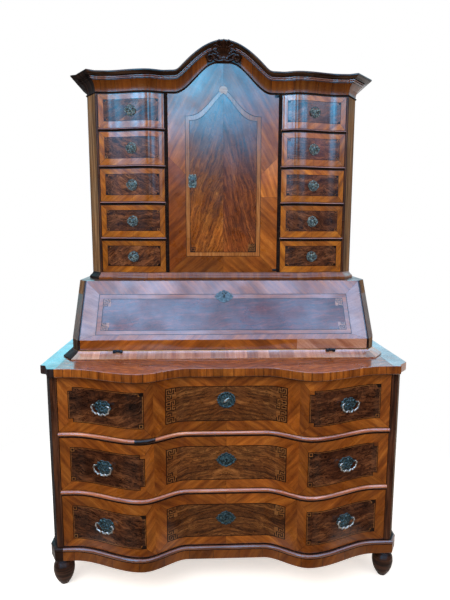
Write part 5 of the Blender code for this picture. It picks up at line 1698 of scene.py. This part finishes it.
def build_fall():
    ink = look("black", jitter=0)
    top = KNEE_HEIGHT + SLOPE_LENGTH
    regions = []
    for start, end in zip(KNEE_JOINTS, KNEE_JOINTS[1:]):
        leaf = look("banding", KNEE_SLANT if start < 0 else -KNEE_SLANT, KNEE_TONE)
        if start > KNEE_PALE:
            leaf = look("ledge", -KNEE_SLANT)
        regions.append((rectangle(start, end, 0, KNEE_HEIGHT), leaf))
        regions.append((strip((end, 0), (end, KNEE_HEIGHT), SEAM), ink))
    half, start, end = LID_BAND_OUTER
    band = (-half, half, start, end)
    leaves = [look(*row) for row in LID_LEAVES]
    regions += mitred_border((-LID_HALF, LID_HALF, KNEE_HEIGHT, top), band, leaves, ink)
    regions += framed(band, look("banding", 0, LID_BAND_TONE, jitter=0), ink)
    half, start, end = LID_BAND_INNER
    panel = (-half, half, start, end)
    regions += framed(panel, look(*LID_PANEL), ink)
    for corner, signs in corners_of(panel):
        regions += key_square(FRET, corner, signs, NEST_UNIT, ink, look(*KEY_GROUND))
    # Painted shadow: black strips down the fall's two ends, for the gaps beside it
    for sign in SIGNS:
        xs = sorted((sign * (LID_HALF - LID_END_LINE), sign * LID_HALF))
        regions.append((rectangle(*xs, 0, top), ink))
    lid = Skin()
    outline = rectangle(-LID_HALF + EDGE, LID_HALF - EDGE, EDGE, top - EDGE)
    lines = [((-LID_HALF, KNEE_HEIGHT), (LID_HALF, KNEE_HEIGHT))]
    lid.inlay(outline, regions, on_lid, lines, deep=LID_THICKNESS, ground=look("banding"),
              back=look("dark", 0), inward=TO_BACK, edge_look=look("dark", 0))
    lid.build("fall_board", "fall_lid", ["fall_lid"])
    spot = (0, LID_TOP_Y - LID_KEY_DROP * math.cos(SLOPE), DESK_HEIGHT - LID_KEY_DROP * math.sin(SLOPE))
    place = Matrix.Translation(spot) @ Matrix.Rotation(SLOPE, 4, "X")
    build_escutcheon("fall_escutcheon", "fall_lid", place, POINTED_SHIELD, "silvered")
    build_key("fall_key", place)
    build_hinges()


def build_hinges():
    """Two hinges of three knuckles, the middle ones on the fall, each with a stub of its strap."""
    third = HINGE_LENGTH / 3
    profile = [(HINGE_RADIUS * r, third * z) for r, z in BARREL_SHAPE]
    for side, sign in SIDES:
        for part, step in (("inner", -1), ("middle", 0), ("outer", 1)):
            x = sign * HINGE_REACH + step * third
            spot = (x - third / 2, LID_Y - HINGE_OFFSET, LID_BOTTOM)
            place = Matrix.Translation(spot) @ Matrix.Rotation(math.pi / 2, 4, "Y")
            barrel = Skin()
            barrel.turned(profile, place, look("iron", jitter=0), 20)
            ys = (LID_Y - HINGE_OFFSET, LID_Y + EDGE)
            zs = (LID_BOTTOM, LID_BOTTOM + HINGE_RADIUS)
            if step:
                ys = [LID_Y - share * HINGE_OFFSET for share in STRAP_SPAN]
                zs = (LID_BOTTOM - STRAP_DROP * HINGE_RADIUS, LID_BOTTOM)
            start, end = zip((x - third * STRAP_SHARE, x + third * STRAP_SHARE), ys, zs)
            barrel.board(start, end, look("iron", jitter=0), EDGE / 2)
            barrel.build(f"hinge_{side}_{part}", "case" if step else "fall_lid")


# The ledge's rim and its hollow: shares of its reach and of its height
LEDGE_RIM = ((1.0, 0.03), (1.0, 0.15))
LEDGE_CURVE = ((1.0, 0.15), (0.86, 0.27), (0.64, 0.43), (0.40, 0.60), (0.18, 0.78), (0.05, 0.95))
LEDGE_DROP = 0.0015


def build_ledge():
    """The hollow moulding round the desk's foot."""
    plan = desk_plan()
    top = 1 - LEDGE_DROP / (LID_BOTTOM - TOP_HEIGHT)
    profile = [(FIT, 0.0), (LEDGE_PROUD - EDGE, 0.0)]
    profile += [(LEDGE_PROUD * proud, level) for proud, level in LEDGE_RIM]
    profile += [(LEDGE_PROUD * proud, level * top) for proud, level in softened(LEDGE_CURVE, 3)[1:]]
    profile.append((FIT, top))
    leaves = leaves_along(plan, *LEDGE_LEAVES)
    fillet, shaded = look("pale", 90), look(*SHADED_END)

    def look_of(row, column):
        if row < 2:
            return shaded
        return fillet if column < 3 else leaves[row]

    ledge = Skin()
    sweep(ledge, plan, profile, constant(TOP_HEIGHT + FIT), constant(LID_BOTTOM), look_of)
    ledge.build("desk_ledge", "case", ["desk_moulding"])


# Upper cabinet
# From the small drawer's sides, foot and head to its panel
SMALL_MARGINS = (0.0215, 0.0255, 0.0215)
SMALL_NEST_UNIT = 0.0019
# Widths of the painted gap shadow round a small drawer's front, and along its top
SMALL_RIM = 0.0016
SMALL_TOP_RIM = 0.0030
# The left drawers' panels have lost their polish but for the end by the door
DULL_SHARE = 0.80
SMALL_STRING = STRING * 0.7
# The border's leaves, bottom, right, top and left: grain and tone
SMALL_LEAVES = ((36, 1.22), (60, 1.05), (-36, 1.12), (-60, 1.25))
SMALL_JITTER = 0.16
SMALL_BURR_TURN = 30
SMALL_BURR_TONE = 1.20
NEST_LIP = ("bead", 0, 0.75)
SMALL_BACK_GAP = 0.025
SMALL_KIND = {"front_y": small_front_y, "curve": column_swell, "thickness": SMALL_FRONT_THICKNESS,
              "steps": 2 * SMALL_STEPS, "box_steps": SMALL_STEPS,
              "back_y": INNER_BACK_Y - SMALL_BACK_GAP, "wall": SMALL_WALL, "floor": SMALL_FLOOR}


def small_front_layout(x0, x1, z0, z1, number):
    ink = look("black", jitter=0)
    beside, below, above = SMALL_MARGINS
    inner = (x0 + beside, x1 - beside, z0 + below, z1 - above)
    leaves = [look("banding", grain, tone, tint=GOLDEN, jitter=SMALL_JITTER)
              for grain, tone in SMALL_LEAVES]
    regions = mitred_border((x0, x1, z0, z1), inner, leaves, ink)
    middle = (x0 + x1) / 2
    for start, end in ((z0, inner[2]), (inner[3], z1)):
        regions.append((strip((middle, start), (middle, end), SEAM), ink))
    turn = dice.uniform(-SMALL_BURR_TURN, SMALL_BURR_TURN)
    burr = look("burr", turn, SMALL_BURR_TONE, tint=REDDISH)
    regions += framed(inner, ("side_burr" if x0 < 0 else "burr", *burr[1:]), ink, SMALL_STRING)
    if x0 < 0:
        shine = inner[0] + (inner[1] - inner[0]) * DULL_SHARE
        end, low_z, high_z = inner[1] - SMALL_STRING, inner[2] + SMALL_STRING, inner[3] - SMALL_STRING
        regions.append((rectangle(shine, end, low_z, high_z), burr))
    for corner, signs in corners_of(inner):
        rows = BLOCK if number % 2 else NEST
        regions += key_square(rows, corner, signs, SMALL_NEST_UNIT, ink, look(*KEY_GROUND))
    return regions + gap_shadows(x0, x1, z0, z1, SMALL_RIM, SMALL_TOP_RIM, ink)


def build_small_drawer(side, number):
    node = f"small_drawer_{side}_{number}"
    x0, x1, z0, z1 = low(node).x, high(node).x, low(node).z, high(node).z
    build_drawer(node, (x0, x1), (z0, z1), small_front_layout(x0, x1, z0, z1, number), **SMALL_KIND)
    x = (x0 + x1) / 2
    place = handle_frame(x, small_front_y(x), (z0 + z1) / 2, column_swell)
    build_pull(node + "_pull", node, f"small_bail_{side}_{number}", place)


def build_nests():
    """The partitions and lipped dust boards of the two columns."""
    for side, sign in SIDES:
        node = "drawer_nest_" + side
        nest = Skin()
        xs = sorted((sign * (DOOR_HALF + DOOR_GAP), sign * COLUMN_INNER))
        start, end = (xs[0], DOOR_Y, low(node).z), (xs[1], INNER_BACK_Y, high(node).z)
        # Painted shade: the partition's near-black face is the dark line between the drawers and the
        # door
        nest.board(start, end, look("stained", 90))
        lip, plain, shaded = look(*NEST_LIP), look("soft", 0), look("stained", 0)
        xs = [sign * x for x in spread(COLUMN_INNER - EDGE, COLUMN_OUTER - FIT, 2 * SMALL_STEPS)]
        for number in list(SMALL_DRAWERS)[:-1]:
            base = CASE_TOP - number * SMALL_PITCH
            rows = lipped_rows(xs, small_front_y, SMALL_BEAD_PROUD, INNER_BACK_Y - EDGE, base,
                               base + SMALL_BEAD_HEIGHT)
            nest.grid(rows, lambda row, column: lip_part(column, plain, shaded, lip, LIP_SHADE),
                      closed_columns=True, capped=True, turned=sign < 0)
        nest.build(node + "_boards", "case", [node])


BASE_SHAPE = ((1.0, 0.0), (1.0, 0.30), (0.80, 0.46), (0.30, 0.70), (0.04, 0.94), (0.0, 1.0))


def build_cabinet_base():
    plan = upper_plan(2)
    profile = [(UPPER_BASE_PROUD * proud, level) for proud, level in softened(BASE_SHAPE, 4)]
    leaves = leaves_along(plan, *BASE_LEAVES)
    leaves[0] = leaves[1] = look(*SHADED_END)
    slab("cabinet_base", plan, profile, leaves, [], look("soft", 0), look("soft", 0))


# The door's inlaid frame: half its width, the width of its band, and its levels above the door's foot
FRAME_HALF = 0.147
FRAME_WIDTH = 0.0165
FRAME_LOW = 0.067
FRAME_SHOULDER = 0.606
FRAME_RISE = 0.105
# How much of an inset the ogee's rise loses, and the shape of the ogee
FRAME_SINK = 0.15
OGEE_POWER = 1.6
FRAME_KNOB = 0.0165
KNOB_DROP = 0.4
FRAME_LINE = 0.75
# Joints of the border's leaves, above the door's foot
LEFT_JOINT = 0.385
RIGHT_JOINT = 0.300
RIGHT_PATCH = 0.085
MIDDLE_SEAM = 0.8
PIVOT_SIZE = (0.016, 0.010)
# The border's leaves: grain, tone, tint and spread of tones. The first two darken upwards with painted
# shade, to these shares
DOOR_LEAVES = ((60, 1.15, UNTINTED, JITTER), (-60, 1.10, UNTINTED, JITTER),
               (45, 0.84, (1.0, 0.86, 0.84), 0), (-45, 1.18, UNTINTED, 0), (-70, 1.62, UNTINTED, 0),
               (40, 0.74, UNTINTED, 0), (-40, 1.0, UNTINTED, 0))
DOOR_SHADE_SHARES = (0.24, 0.30)
DOOR_GRAIN = 68
# The panel's looks: kind, grain, tone and tint, and the shares to which painted shade darkens them up
# the door
DOOR_KEY_GROUND = ("pale", 0, 0.5)
FRAME_PALE = ("pale", 90, 0.90)
FRAME_SHADE_SHARE = 0.50
# The knob is pale inlay; its blue tint is a painted reflection of the sky
KNOB_PALE = ("pale", 0, 0.85, (0.9, 1.06, 1.3))
LEFT_CROTCH = ("crotch", 72, 1.42, (1.06, 1.0, 0.70))
RIGHT_CROTCH = ("crotch", 104, 1.05, (1.10, 0.90, 0.80))
CROTCH_SHADE_SHARES = (0.30, 0.34)


def ogee(x, half):
    share = min(abs(x) / half, 1)
    return (((1 + math.cos(math.pi * share)) / 2) ** OGEE_POWER + (1 - share) ** 2) / 2


def door_frame_line(inset, steps=24):
    """The inlaid frame's outline this far inside its outer edge, anticlockwise from the bottom left."""
    half = FRAME_HALF - inset
    z0 = DOOR_BOTTOM + FRAME_LOW + inset
    shoulder = DOOR_BOTTOM + FRAME_SHOULDER - inset
    rise = FRAME_RISE - FRAME_SINK * inset
    top = [(x, shoulder + rise * ogee(x, half)) for x in spread(half, -half, 2 * steps)]
    return [(-half, z0), (half, z0)] + top


def door_outline(inset):
    half, z0, shoulder = DOOR_HALF - inset, DOOR_BOTTOM + FIT + inset, CASE_TOP - DOOR_GAP - inset
    top = [(x, shoulder + bell(x)) for x in spread(BELL_HALF_WIDTH, -BELL_HALF_WIDTH, ARCH_STEPS)]
    return [(-half, z0), (half, z0), (half, shoulder)] + top + [(-half, shoulder)]


def door_border(apex):
    """The border's leaves and their seams. Each corner is (x, z)."""
    z0, half, edge = DOOR_BOTTOM + FIT, DOOR_HALF, FRAME_HALF
    low_z, shoulder = DOOR_BOTTOM + FRAME_LOW, DOOR_BOTTOM + FRAME_SHOULDER
    left, right = DOOR_BOTTOM + LEFT_JOINT, DOOR_BOTTOM + RIGHT_JOINT
    top = right + RIGHT_PATCH
    slant = half - edge
    shade_span = (shoulder - FRAME_RISE, apex)
    outlines = (
        [(-half, left + slant), (-edge, left), (-edge, shoulder), (0, shoulder), (0, apex),
         (-half, apex)],
        [(0, shoulder), (edge, shoulder), (edge, top), (half, top + slant), (half, apex), (0, apex)],
        [(-half, z0), (-edge, low_z), (-edge, left), (-half, left + slant)],
        [(edge, low_z), (half, z0), (half, right), (edge, right)],
        [(edge, right), (half, right), (half, top + slant), (edge, top)],
        [(-half, z0), (0, z0), (0, low_z), (-edge, low_z)],
        [(0, z0), (half, z0), (edge, low_z), (0, low_z)])
    leaves = [look("banding", grain, tone, tint, jitter=jitter)
              for grain, tone, tint, jitter in DOOR_LEAVES]
    for index, share in enumerate(DOOR_SHADE_SHARES):
        leaves[index] = shaded_upwards(leaves[index], *shade_span, share)
    seams = [((-half, left + slant), (-edge, left)), ((0, shoulder), (0, apex)),
             ((-half, z0), (-edge, low_z)), ((half, z0), (edge, low_z)), ((0, z0), (0, low_z)),
             ((edge, right), (half, right)), ((edge, top), (half, top + slant))]
    return list(zip(outlines, leaves)), [strip(start, end, SEAM) for start, end in seams]


def door_panel(apex, ink):
    """The pointed frame, its knob, and the panel of two leaves with its corner keys."""
    z0, shoulder = DOOR_BOTTOM + FIT, DOOR_BOTTOM + FRAME_SHOULDER
    pale = shaded_upwards(look(*FRAME_PALE), z0, apex, FRAME_SHADE_SHARE)
    knob = (0, shoulder + FRAME_RISE - FRAME_KNOB * KNOB_DROP)
    inner = door_frame_line(FRAME_WIDTH)
    regions = [(ring(FRAME_KNOB + STRING / 2, 24, knob), ink),
               (door_frame_line(-STRING * FRAME_LINE), ink), (door_frame_line(0), pale),
               (ring(FRAME_KNOB, 24, knob), look(*KNOB_PALE)),
               (door_frame_line(FRAME_WIDTH - STRING * FRAME_LINE), ink)]
    left_shade, right_shade = CROTCH_SHADE_SHARES
    regions.append((inner, shaded_upwards(look(*LEFT_CROTCH), z0, shoulder, left_shade)))
    middle = (0, inner[0][1])
    right_half = [middle, inner[1]] + [(x, z) for x, z in inner[2:] if x >= 0]
    regions.append((right_half, shaded_upwards(look(*RIGHT_CROTCH), z0, shoulder, right_shade)))
    regions.append((strip(middle, (0, shoulder + FRAME_RISE * MIDDLE_SEAM), SEAM), ink))
    regions += key_square(FRET, inner[1], (-1, 1), NEST_UNIT, ink, look(*DOOR_KEY_GROUND))
    return regions + key_square(NEST, inner[0], (1, 1), NEST_UNIT, ink)


def build_door():
    apex = CASE_TOP + BELL_RISE
    ink = look("black", jitter=0)
    ground = look("banding", DOOR_GRAIN)
    regions, seams = door_border(apex)
    regions += [(seam, ink) for seam in seams] + door_panel(apex, ink)
    door = Skin()
    lines = upright_lines(spread(-DOOR_HALF, DOOR_HALF, 24), DOOR_BOTTOM + FIT, apex)
    door.inlay(door_outline(EDGE), regions, on_plane((0, DOOR_Y, 0), (1, 0, 0), (0, 0, 1)), lines,
               deep=DOOR_THICKNESS, ground=ground, back=look("dark", 90), inward=TO_BACK,
               edge_look=look("dark", 90))
    door.build("door_leaf", "door", ["door"])
    pivots = Skin()
    wide, tall = PIVOT_SIZE
    for z in (DOOR_BOTTOM + tall, CASE_TOP - DOOR_GAP - tall / 2):
        start = (DOOR_HALF - wide, DOOR_Y - PLATE_THICKNESS, z - tall / 2)
        end = (DOOR_HALF - EDGE, DOOR_Y + PLATE_THICKNESS, z + tall / 2)
        pivots.board(start, end, look("iron", jitter=0), EDGE / 2)
    pivots.build("door_pivot_plates", "door")
    lock = upright(-DOOR_HALF + DOOR_KEY_INSET, DOOR_Y, DOOR_BOTTOM + DOOR_KEY_HEIGHT)
    build_escutcheon("door_escutcheon", "door", lock, CARTOUCHE, "verdigris")
    build_key("door_key", lock)


# Cornice and its carving. Shares: how far proud, how high
CORNICE_LIP = ((0.0, 0.0), (0.05, 0.0), (0.075, 0.02), (0.075, 0.045), (0.05, 0.065), (0.02, 0.075))
CORNICE_FRIEZE = ((0.02, 0.16), (0.045, 0.26), (0.09, 0.36), (0.15, 0.45), (0.24, 0.54), (0.36, 0.62))
CORNICE_BEADS = ((0.40, 0.625), (0.40, 0.645), (0.49, 0.65), (0.53, 0.665), (0.53, 0.685), (0.49, 0.70),
                 (0.46, 0.705), (0.46, 0.715), (0.55, 0.72), (0.59, 0.735), (0.59, 0.755), (0.55, 0.77),
                 (0.52, 0.775), (0.52, 0.79))
CORNICE_OVOLO = ((0.60, 0.79), (0.74, 0.81), (0.86, 0.845), (0.93, 0.89), (0.96, 0.93), (1.0, 0.935),
                 (1.0, 0.985), (0.985, 1.0))


def cornice_low(x):
    return CASE_TOP + FIT + bell(x)


def cornice_high(x):
    return CASE_TOP + CORNICE_HEIGHT + arch(x)


def cornice_reach(x, mitre):
    """How proud the cornice stands: least over the front, more round the canted corners."""
    if abs(x) <= COLUMN_OUTER + FIT:
        return mitre * CORNICE_PROUD
    return mitre * (CORNICE_CORNER_PROUD if abs(x) < UPPER_HALF - FIT else CORNICE_SIDE_PROUD)


# How far the plain relief behind the crest stays inside its half width
BAND_STEP = 0.008
# Looks of the cornice's lip, a line of painted shade under the frieze, its lit beads and relief, and of
# its left end, in painted shade
CORNICE_LOOKS = (("stained", 0, 0.9), ("bead", 0, 0.62), ("carved", 90, 0.9))
CORNICE_END = ("stained", 90, 1.6)
# Which faces of the two beads are lit: first and last, from the lowest
LIT_BEADS = ((2, 5), (8, 11))


def build_cornice():
    profile = CORNICE_LIP + CORNICE_FRIEZE + CORNICE_BEADS + CORNICE_OVOLO
    plan, leaves = jointed(upper_plan(ARCH_STEPS), *CORNICE_LEAVES)
    tops = leaves_along(plan, *CORNICE_BOARDS)
    lip, line, relief = [look(*row) for row in CORNICE_LOOKS]
    # The grooves between the beads are black, painted shade
    groove, plain, shaded = look("black", jitter=0), look("soft", 0), look(*CORNICE_END)
    frieze = len(CORNICE_LIP)
    beads = frieze + len(CORNICE_FRIEZE)
    ovolo = beads + len(CORNICE_BEADS)

    def look_of(row, column):
        if column in (0, len(profile), len(profile) + 1):
            return plain
        if plan[row][0] < -COLUMN_OUTER - UPPER_STILE - FIT:
            return shaded
        row = min(row, len(leaves) - 1)
        if column < frieze:
            return lip
        if column < beads:
            return relief if abs(plan[row][0]) < CREST_HALF_WIDTH - BAND_STEP else leaves[row]
        if column < ovolo:
            lit = any(first <= column - beads <= last for first, last in LIT_BEADS)
            return line if lit else groove
        return tops[row]

    cornice = Skin()
    sweep(cornice, plan, profile, cornice_low, cornice_high, look_of, inner_line(plan, CORNICE_WALL),
          cornice_reach)
    cornice.build("cornice_moulding", "case", ["cornice"])


# The cornice's face as the carving follows it: proud, level. Its lip stands this proud
FACE_LINE = CORNICE_FRIEZE + ((0.46, 0.66), (0.58, 0.76), (0.90, 0.88), (1.0, 0.95), (1.0, 1.0))
FACE_FOOT = 0.02


def cornice_face(x, z, lift):
    """A point a little proud of the cornice's own face."""
    base, top = cornice_low(x), cornice_high(x)
    level = min(max((z - base) / (top - base), 0), 1)
    proud = FACE_FOOT
    for (p1, l1), (p2, l2) in zip(FACE_LINE, FACE_LINE[1:]):
        if level >= l1:
            proud = p1 + (p2 - p1) * min((level - l1) / (l2 - l1), 1)
    return (x, DOOR_Y - CORNICE_PROUD * proud - lift, z)


SHELL_RIBS = 5
SHELL_SPREAD = math.radians(92)
SHELL_HEART = 0.016
# The middle rib's length, what each further one loses, its root, its bend and its radii
RIB_LENGTH = (0.046, 0.0010)
RIB_ROOT = 0.004
RIB_BEND = 0.55
RIB_RADII = (0.0015, 0.0046, 0.0068, 0.0024)
RIB_LIFT = 0.004
# The scrolls: distance from the middle, drop, first reach and what a turn loses, and radii
SCROLL_PLACE = (0.051, 0.002)
SCROLL_REACH = (0.0150, 0.0014)
SCROLL_TURN = 2.2 * math.pi
SCROLL_RADII = (0.0058, 0.0048, 0.0036, 0.0050)
LEAF_LIFT = 0.003
# Small leaves beside the heart: points from it, and radii along them
CREST_LEAVES = (
    (((0.010, 0.008), (0.026, 0.020), (0.044, 0.026)), (0.003, 0.0066, 0.0014)),
    (((0.012, 0.000), (0.030, 0.012), (0.050, 0.016)), (0.003, 0.0060, 0.0014)),
    (((0.036, 0.002), (0.054, 0.018), (0.070, 0.000)), (0.002, 0.0060, 0.0014)),
    (((0.000, -0.006), (0.018, -0.010), (0.038, -0.004)), (0.006, 0.0052, 0.0030)),
    (((0.004, 0.040), (0.018, 0.053), (0.030, 0.042)), (0.003, 0.0054, 0.0014)),
    (((0.014, 0.034), (0.032, 0.040), (0.046, 0.028)), (0.003, 0.0050, 0.0014)))
TIP_LEAF = (((0.000, 0.034), (0.000, 0.047), (0.000, 0.058)), (0.0040, 0.0070, 0.0018))
TIP_LIFT = 0.005
HEART_BOSS = ((0.0080, 0), (0.0085, 0.003), (0.0060, 0.007), (0.0012, 0.0085))
BOSS_LIFT = 0.002


def build_crest():
    """A carved shell with scrolls and leaves, on the arch."""
    crest = Skin()
    carved = look("carved", 90)
    heart = cornice_low(0) + SHELL_HEART

    def stroke(points, radii, lift, steps=6):
        line = softened([(x, heart + z) for x, z in points], steps)
        placed = [cornice_face(x, z, lift) for x, z in line]

        def radius(share):
            spot = share * (len(radii) - 1)
            index = min(int(spot), len(radii) - 2)
            return radii[index] + (radii[index + 1] - radii[index]) * (spot - index)

        crest.tube(placed, radius, carved, sides=10, lift=(0, 1, 0))

    for index in range(-SHELL_RIBS, SHELL_RIBS + 1):
        lean = SHELL_SPREAD * index / SHELL_RIBS
        length = RIB_LENGTH[0] - RIB_LENGTH[1] * index * index
        tip = (length * math.sin(lean), length * math.cos(lean))
        bend = (RIB_BEND * tip[0], RIB_BEND * tip[1])
        stroke([(RIB_ROOT * math.sin(lean), 0), bend, tip], RIB_RADII, RIB_LIFT)
    for sign in SIGNS:
        spiral = []
        for turn in spread(0, SCROLL_TURN, 16):
            reach = SCROLL_REACH[0] - SCROLL_REACH[1] * turn
            spiral.append((sign * (SCROLL_PLACE[0] - reach * math.cos(turn)),
                           reach * math.sin(turn) - SCROLL_PLACE[1]))
        stroke(spiral, SCROLL_RADII, LEAF_LIFT, 2)
        for line, radii in CREST_LEAVES:
            stroke([(sign * x, z) for x, z in line], radii, LEAF_LIFT)
    stroke(*TIP_LEAF, TIP_LIFT)
    crest.turned(HEART_BOSS, upright(*cornice_face(0, heart, BOSS_LIFT)), carved, 24)
    crest.build("crest_shell", "case", ["crest_carving"])


# Carried-over nodes: kind of wood, axis of its grain, and the nodes
PLAIN_ROWS = (("dark", "Z", ("commode_side_left", "commode_side_right", "desk_side_left",
                             "desk_side_right", "cabinet_side_left", "cabinet_side_right")),
              ("soft", "Z", ("commode_back", "desk_back", "cabinet_back")),
              ("soft", "X", ("base_board", "desk_bed", "cabinet_top")),
              ("dark", "X", ("desk_top",)))
# Their woods: name, colours, waves a metre along and across the grain, and settings
PLAIN_WOODS = {"soft": ("softwood_along_", SOFT_COLOURS, 3.0, 110.0, UNVARNISHED),
               "dark": ("walnut_along_", DARK_COLOURS, 8.0, 150.0, {"gloss": 0.12})}


def finish_plain_nodes():
    """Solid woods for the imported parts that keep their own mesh, with the grain along each board."""
    kinds = {}
    for axis in "XZ":
        for kind, (name, colours, along, across, settings) in PLAIN_WOODS.items():
            kinds[kind, axis] = wood(name + axis, colours, along, across, axis=axis, **settings)
    for kind, axis, nodes in PLAIN_ROWS:
        for node in nodes:
            for material_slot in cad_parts[node].material_slots:
                material_slot.material = kinds[kind, axis]


# Stage
CAMERA_PLACE = (-0.07365, -1.91426, 1.30533)
CAMERA_YAW = -0.04104
CAMERA_PITCH = -0.14085
CAMERA_ROLL = -0.00228
CAMERA_LENS = 29.484
SENSOR = 36.0
FLOOR_RADIUS = 1.6


def build_camera():
    data = bpy.data.cameras.new("camera")
    data.sensor_fit = "VERTICAL"
    data.sensor_height = SENSOR
    data.lens = CAMERA_LENS
    camera = in_scene("camera", data)
    turn = (Matrix.Rotation(CAMERA_YAW, 4, "Z") @ Matrix.Rotation(CAMERA_PITCH, 4, "X")
            @ Matrix.Rotation(CAMERA_ROLL, 4, "Y") @ Matrix.Rotation(math.pi / 2, 4, "X"))
    camera.matrix_world = Matrix.Translation(CAMERA_PLACE) @ turn
    bpy.context.scene.camera = camera


def build_floor():
    mesh = bpy.data.meshes.new("floor")
    mesh.from_pydata([(x, y, 0) for x, y in ring(FLOOR_RADIUS, 96)], [], [list(range(96))])
    mesh.materials.append(studio_floor())
    in_scene("floor", mesh)


def build_lamp(name, place, target, size, power, colour):
    data = bpy.data.lights.new(name, "AREA")
    data.shape = "RECTANGLE"
    data.size, data.size_y = size
    data.energy = power
    data.color = colour
    lamp = in_scene(name, data)
    aim = (Vector(target) - Vector(place)).to_track_quat("-Z", "Y")
    lamp.matrix_world = Matrix.Translation(place) @ aim.to_matrix().to_4x4()
    lamp.visible_glossy = False


SKY_STRENGTH = 10.0
# The sky that the varnish mirrors: (sine of the elevation, colour as a share of its strength)
SKY = ((-1.0, (0.006, 0.005, 0.004)), (0.0, (0.008, 0.007, 0.006)), (0.08, (0.014, 0.016, 0.018)),
       (0.14, (0.05, 0.09, 0.14)), (0.20, (0.16, 0.42, 0.72)), (0.26, (0.17, 0.94, 1.56)),
       (0.40, (0.16, 0.88, 1.48)), (0.60, (0.28, 0.52, 0.86)), (0.87, (0.36, 0.56, 0.90)),
       (1.0, (0.34, 0.54, 0.86)))
SKY_BEHIND = (0.06, 0.22, 0.28, 1.0)
SKY_BEHIND_RIGHT = (0.09, 0.165, 0.21, 1.0)
# A little more height towards the sides, and from where to where it comes
SIDE_LIFT = 0.020
SIDE_LIFT_SPAN = (0.25, 0.60)
# Its shade from left to right
SKY_ACROSS = ((-1.0, (1.0, 0.16, 0.12)), (-0.66, (1.0, 0.16, 0.12)), (-0.58, (1.4, 1.2, 1.25)),
              (-0.28, (1.4, 1.2, 1.25)), (-0.20, (1.0, 0.20, 0.16)), (-0.13, (1.0, 0.20, 0.16)),
              (-0.09, (1.0, 1.0, 1.0)), (0.145, (1.0, 1.0, 1.0)), (0.18, (1.2, 0.30, 0.24)),
              (0.24, (1.2, 0.30, 0.24)), (0.32, (1.2, 1.1, 1.1)), (0.48, (1.2, 1.1, 1.1)),
              (0.56, (1.2, 0.22, 0.18)), (1.0, (1.2, 0.22, 0.18)))
# It is even above this range
SKY_EVEN = (0.46, 0.58)
CLOUD_SCALE = 7.0
CLOUDS = ((0.36, (150, 158, 168)), (0.62, (255, 255, 255)))
# Far to the sides the sky darkens
AWAY_SPAN = (0.78, 0.95)
AWAY_TONE = (60, 62, 66)
FILL_COLOUR = (255, 250, 244)
FILL_RANGE = (0.22, 0.94)
# Where the world behind begins, and where it turns from backdrop to sky
BEHIND_SPAN = (-0.05, 0.25)
BEHIND_SIDES = (-0.3, 0.3)
ALOFT_SPAN = (0.12, 0.20)
ASIDE_SPAN = (0.16, 0.26)


def build_world():
    """Even light from all round, a soft sky in front for the varnish to mirror, and a white backdrop."""
    world = bpy.data.worlds.new("studio")
    bpy.context.scene.world = world
    world.use_nodes = True
    s = Surface.__new__(Surface)
    s.tree = world.node_tree
    s.tree.nodes.clear()

    def background(colour, strength):
        return s.add("Background", {"Color": colour, "Strength": strength}).outputs[0]

    def mixed(share, first, second):
        return s.add("MixShader", {0: share, 1: first, 2: second}).outputs[0]

    toward = s.add("TexCoord").outputs["Generated"]
    parts = s.add("SeparateXYZ", {0: toward}).outputs
    across = s.spread_to(parts["X"], -1.0, 1.0)
    rise = s.spread_to(parts["Z"], -1.0, 1.0)
    sideways = s.math("ABSOLUTE", parts["X"])
    lifted = s.math("ADD", rise, s.spread_to(sideways, *SIDE_LIFT_SPAN, 0.0, SIDE_LIFT))
    sky = s.ramp(lifted, [((sine + 1) / 2, (*colour, 1.0)) for sine, colour in SKY])
    sky = s.shaded(sky, s.ramp(s.noise(toward, CLOUD_SCALE), graded(CLOUDS)))
    away = s.ramp(s.spread_to(sideways, *AWAY_SPAN), [(0.0, WHITE), (1.0, srgb(*AWAY_TONE))])
    sky = s.shaded(sky, away)
    shade = s.ramp(across, [((x + 1) / 2, (*colour, 1.0)) for x, colour in SKY_ACROSS])
    sky = s.shaded(sky, shade, s.spread_to(parts["Z"], *SKY_EVEN, 1.0, 0.0))
    fill = background(srgb(*FILL_COLOUR), s.spread_to(parts["Z"], -1.0, 1.0, *FILL_RANGE))
    white = background(WHITE, 1.0)
    sides = s.spread_to(parts["X"], *BEHIND_SIDES)
    dim_sky = background(s.ramp(sides, [(0.0, SKY_BEHIND), (1.0, SKY_BEHIND_RIGHT)]), SKY_STRENGTH)
    path = s.add("LightPath").outputs
    behind = s.spread_to(parts["Y"], *BEHIND_SPAN)
    shine = s.math("MAXIMUM", path["Is Glossy Ray"], path["Is Transmission Ray"])
    aloft = s.math("MULTIPLY", s.spread_to(parts["Z"], *ALOFT_SPAN), s.spread_to(sideways, *ASIDE_SPAN))
    front = mixed(shine, fill, background(sky, SKY_STRENGTH))
    backdrop = mixed(aloft, white, dim_sky)
    seen = mixed(s.math("MULTIPLY", shine, behind), front, backdrop)
    last = mixed(path["Is Camera Ray"], seen, white)
    s.add("OutputWorld", {"Surface": last})


# Lamps: name, place, aim, size, power in watts, colour
LAMPS = (("key", (-1.6, -2.6, 3.2), (0, 0, 0.9), (2.2, 1.6), 70, (1.0, 0.97, 0.92)),
         ("fill", (2.2, -2.4, 1.8), (0, 0, 0.8), (1.8, 2.2), 22, (1.0, 0.98, 0.95)))


def build_stage():
    build_camera()
    build_floor()
    build_world()
    for row in LAMPS:
        build_lamp(*row)
    bpy.context.scene.view_settings.view_transform = "Standard"


build_commode_top()
build_plinth()
build_feet()
build_dust_boards()
for drawer_number in LONG_DRAWERS:
    build_long_drawer(drawer_number)
build_side_veneers()
build_fall()
build_ledge()
build_cabinet_base()
build_nests()
for drawer_side, _ in SIDES:
    for drawer_number in SMALL_DRAWERS:
        build_small_drawer(drawer_side, drawer_number)
build_door()
build_cornice()
build_crest()
finish_plain_nodes()
build_stage()
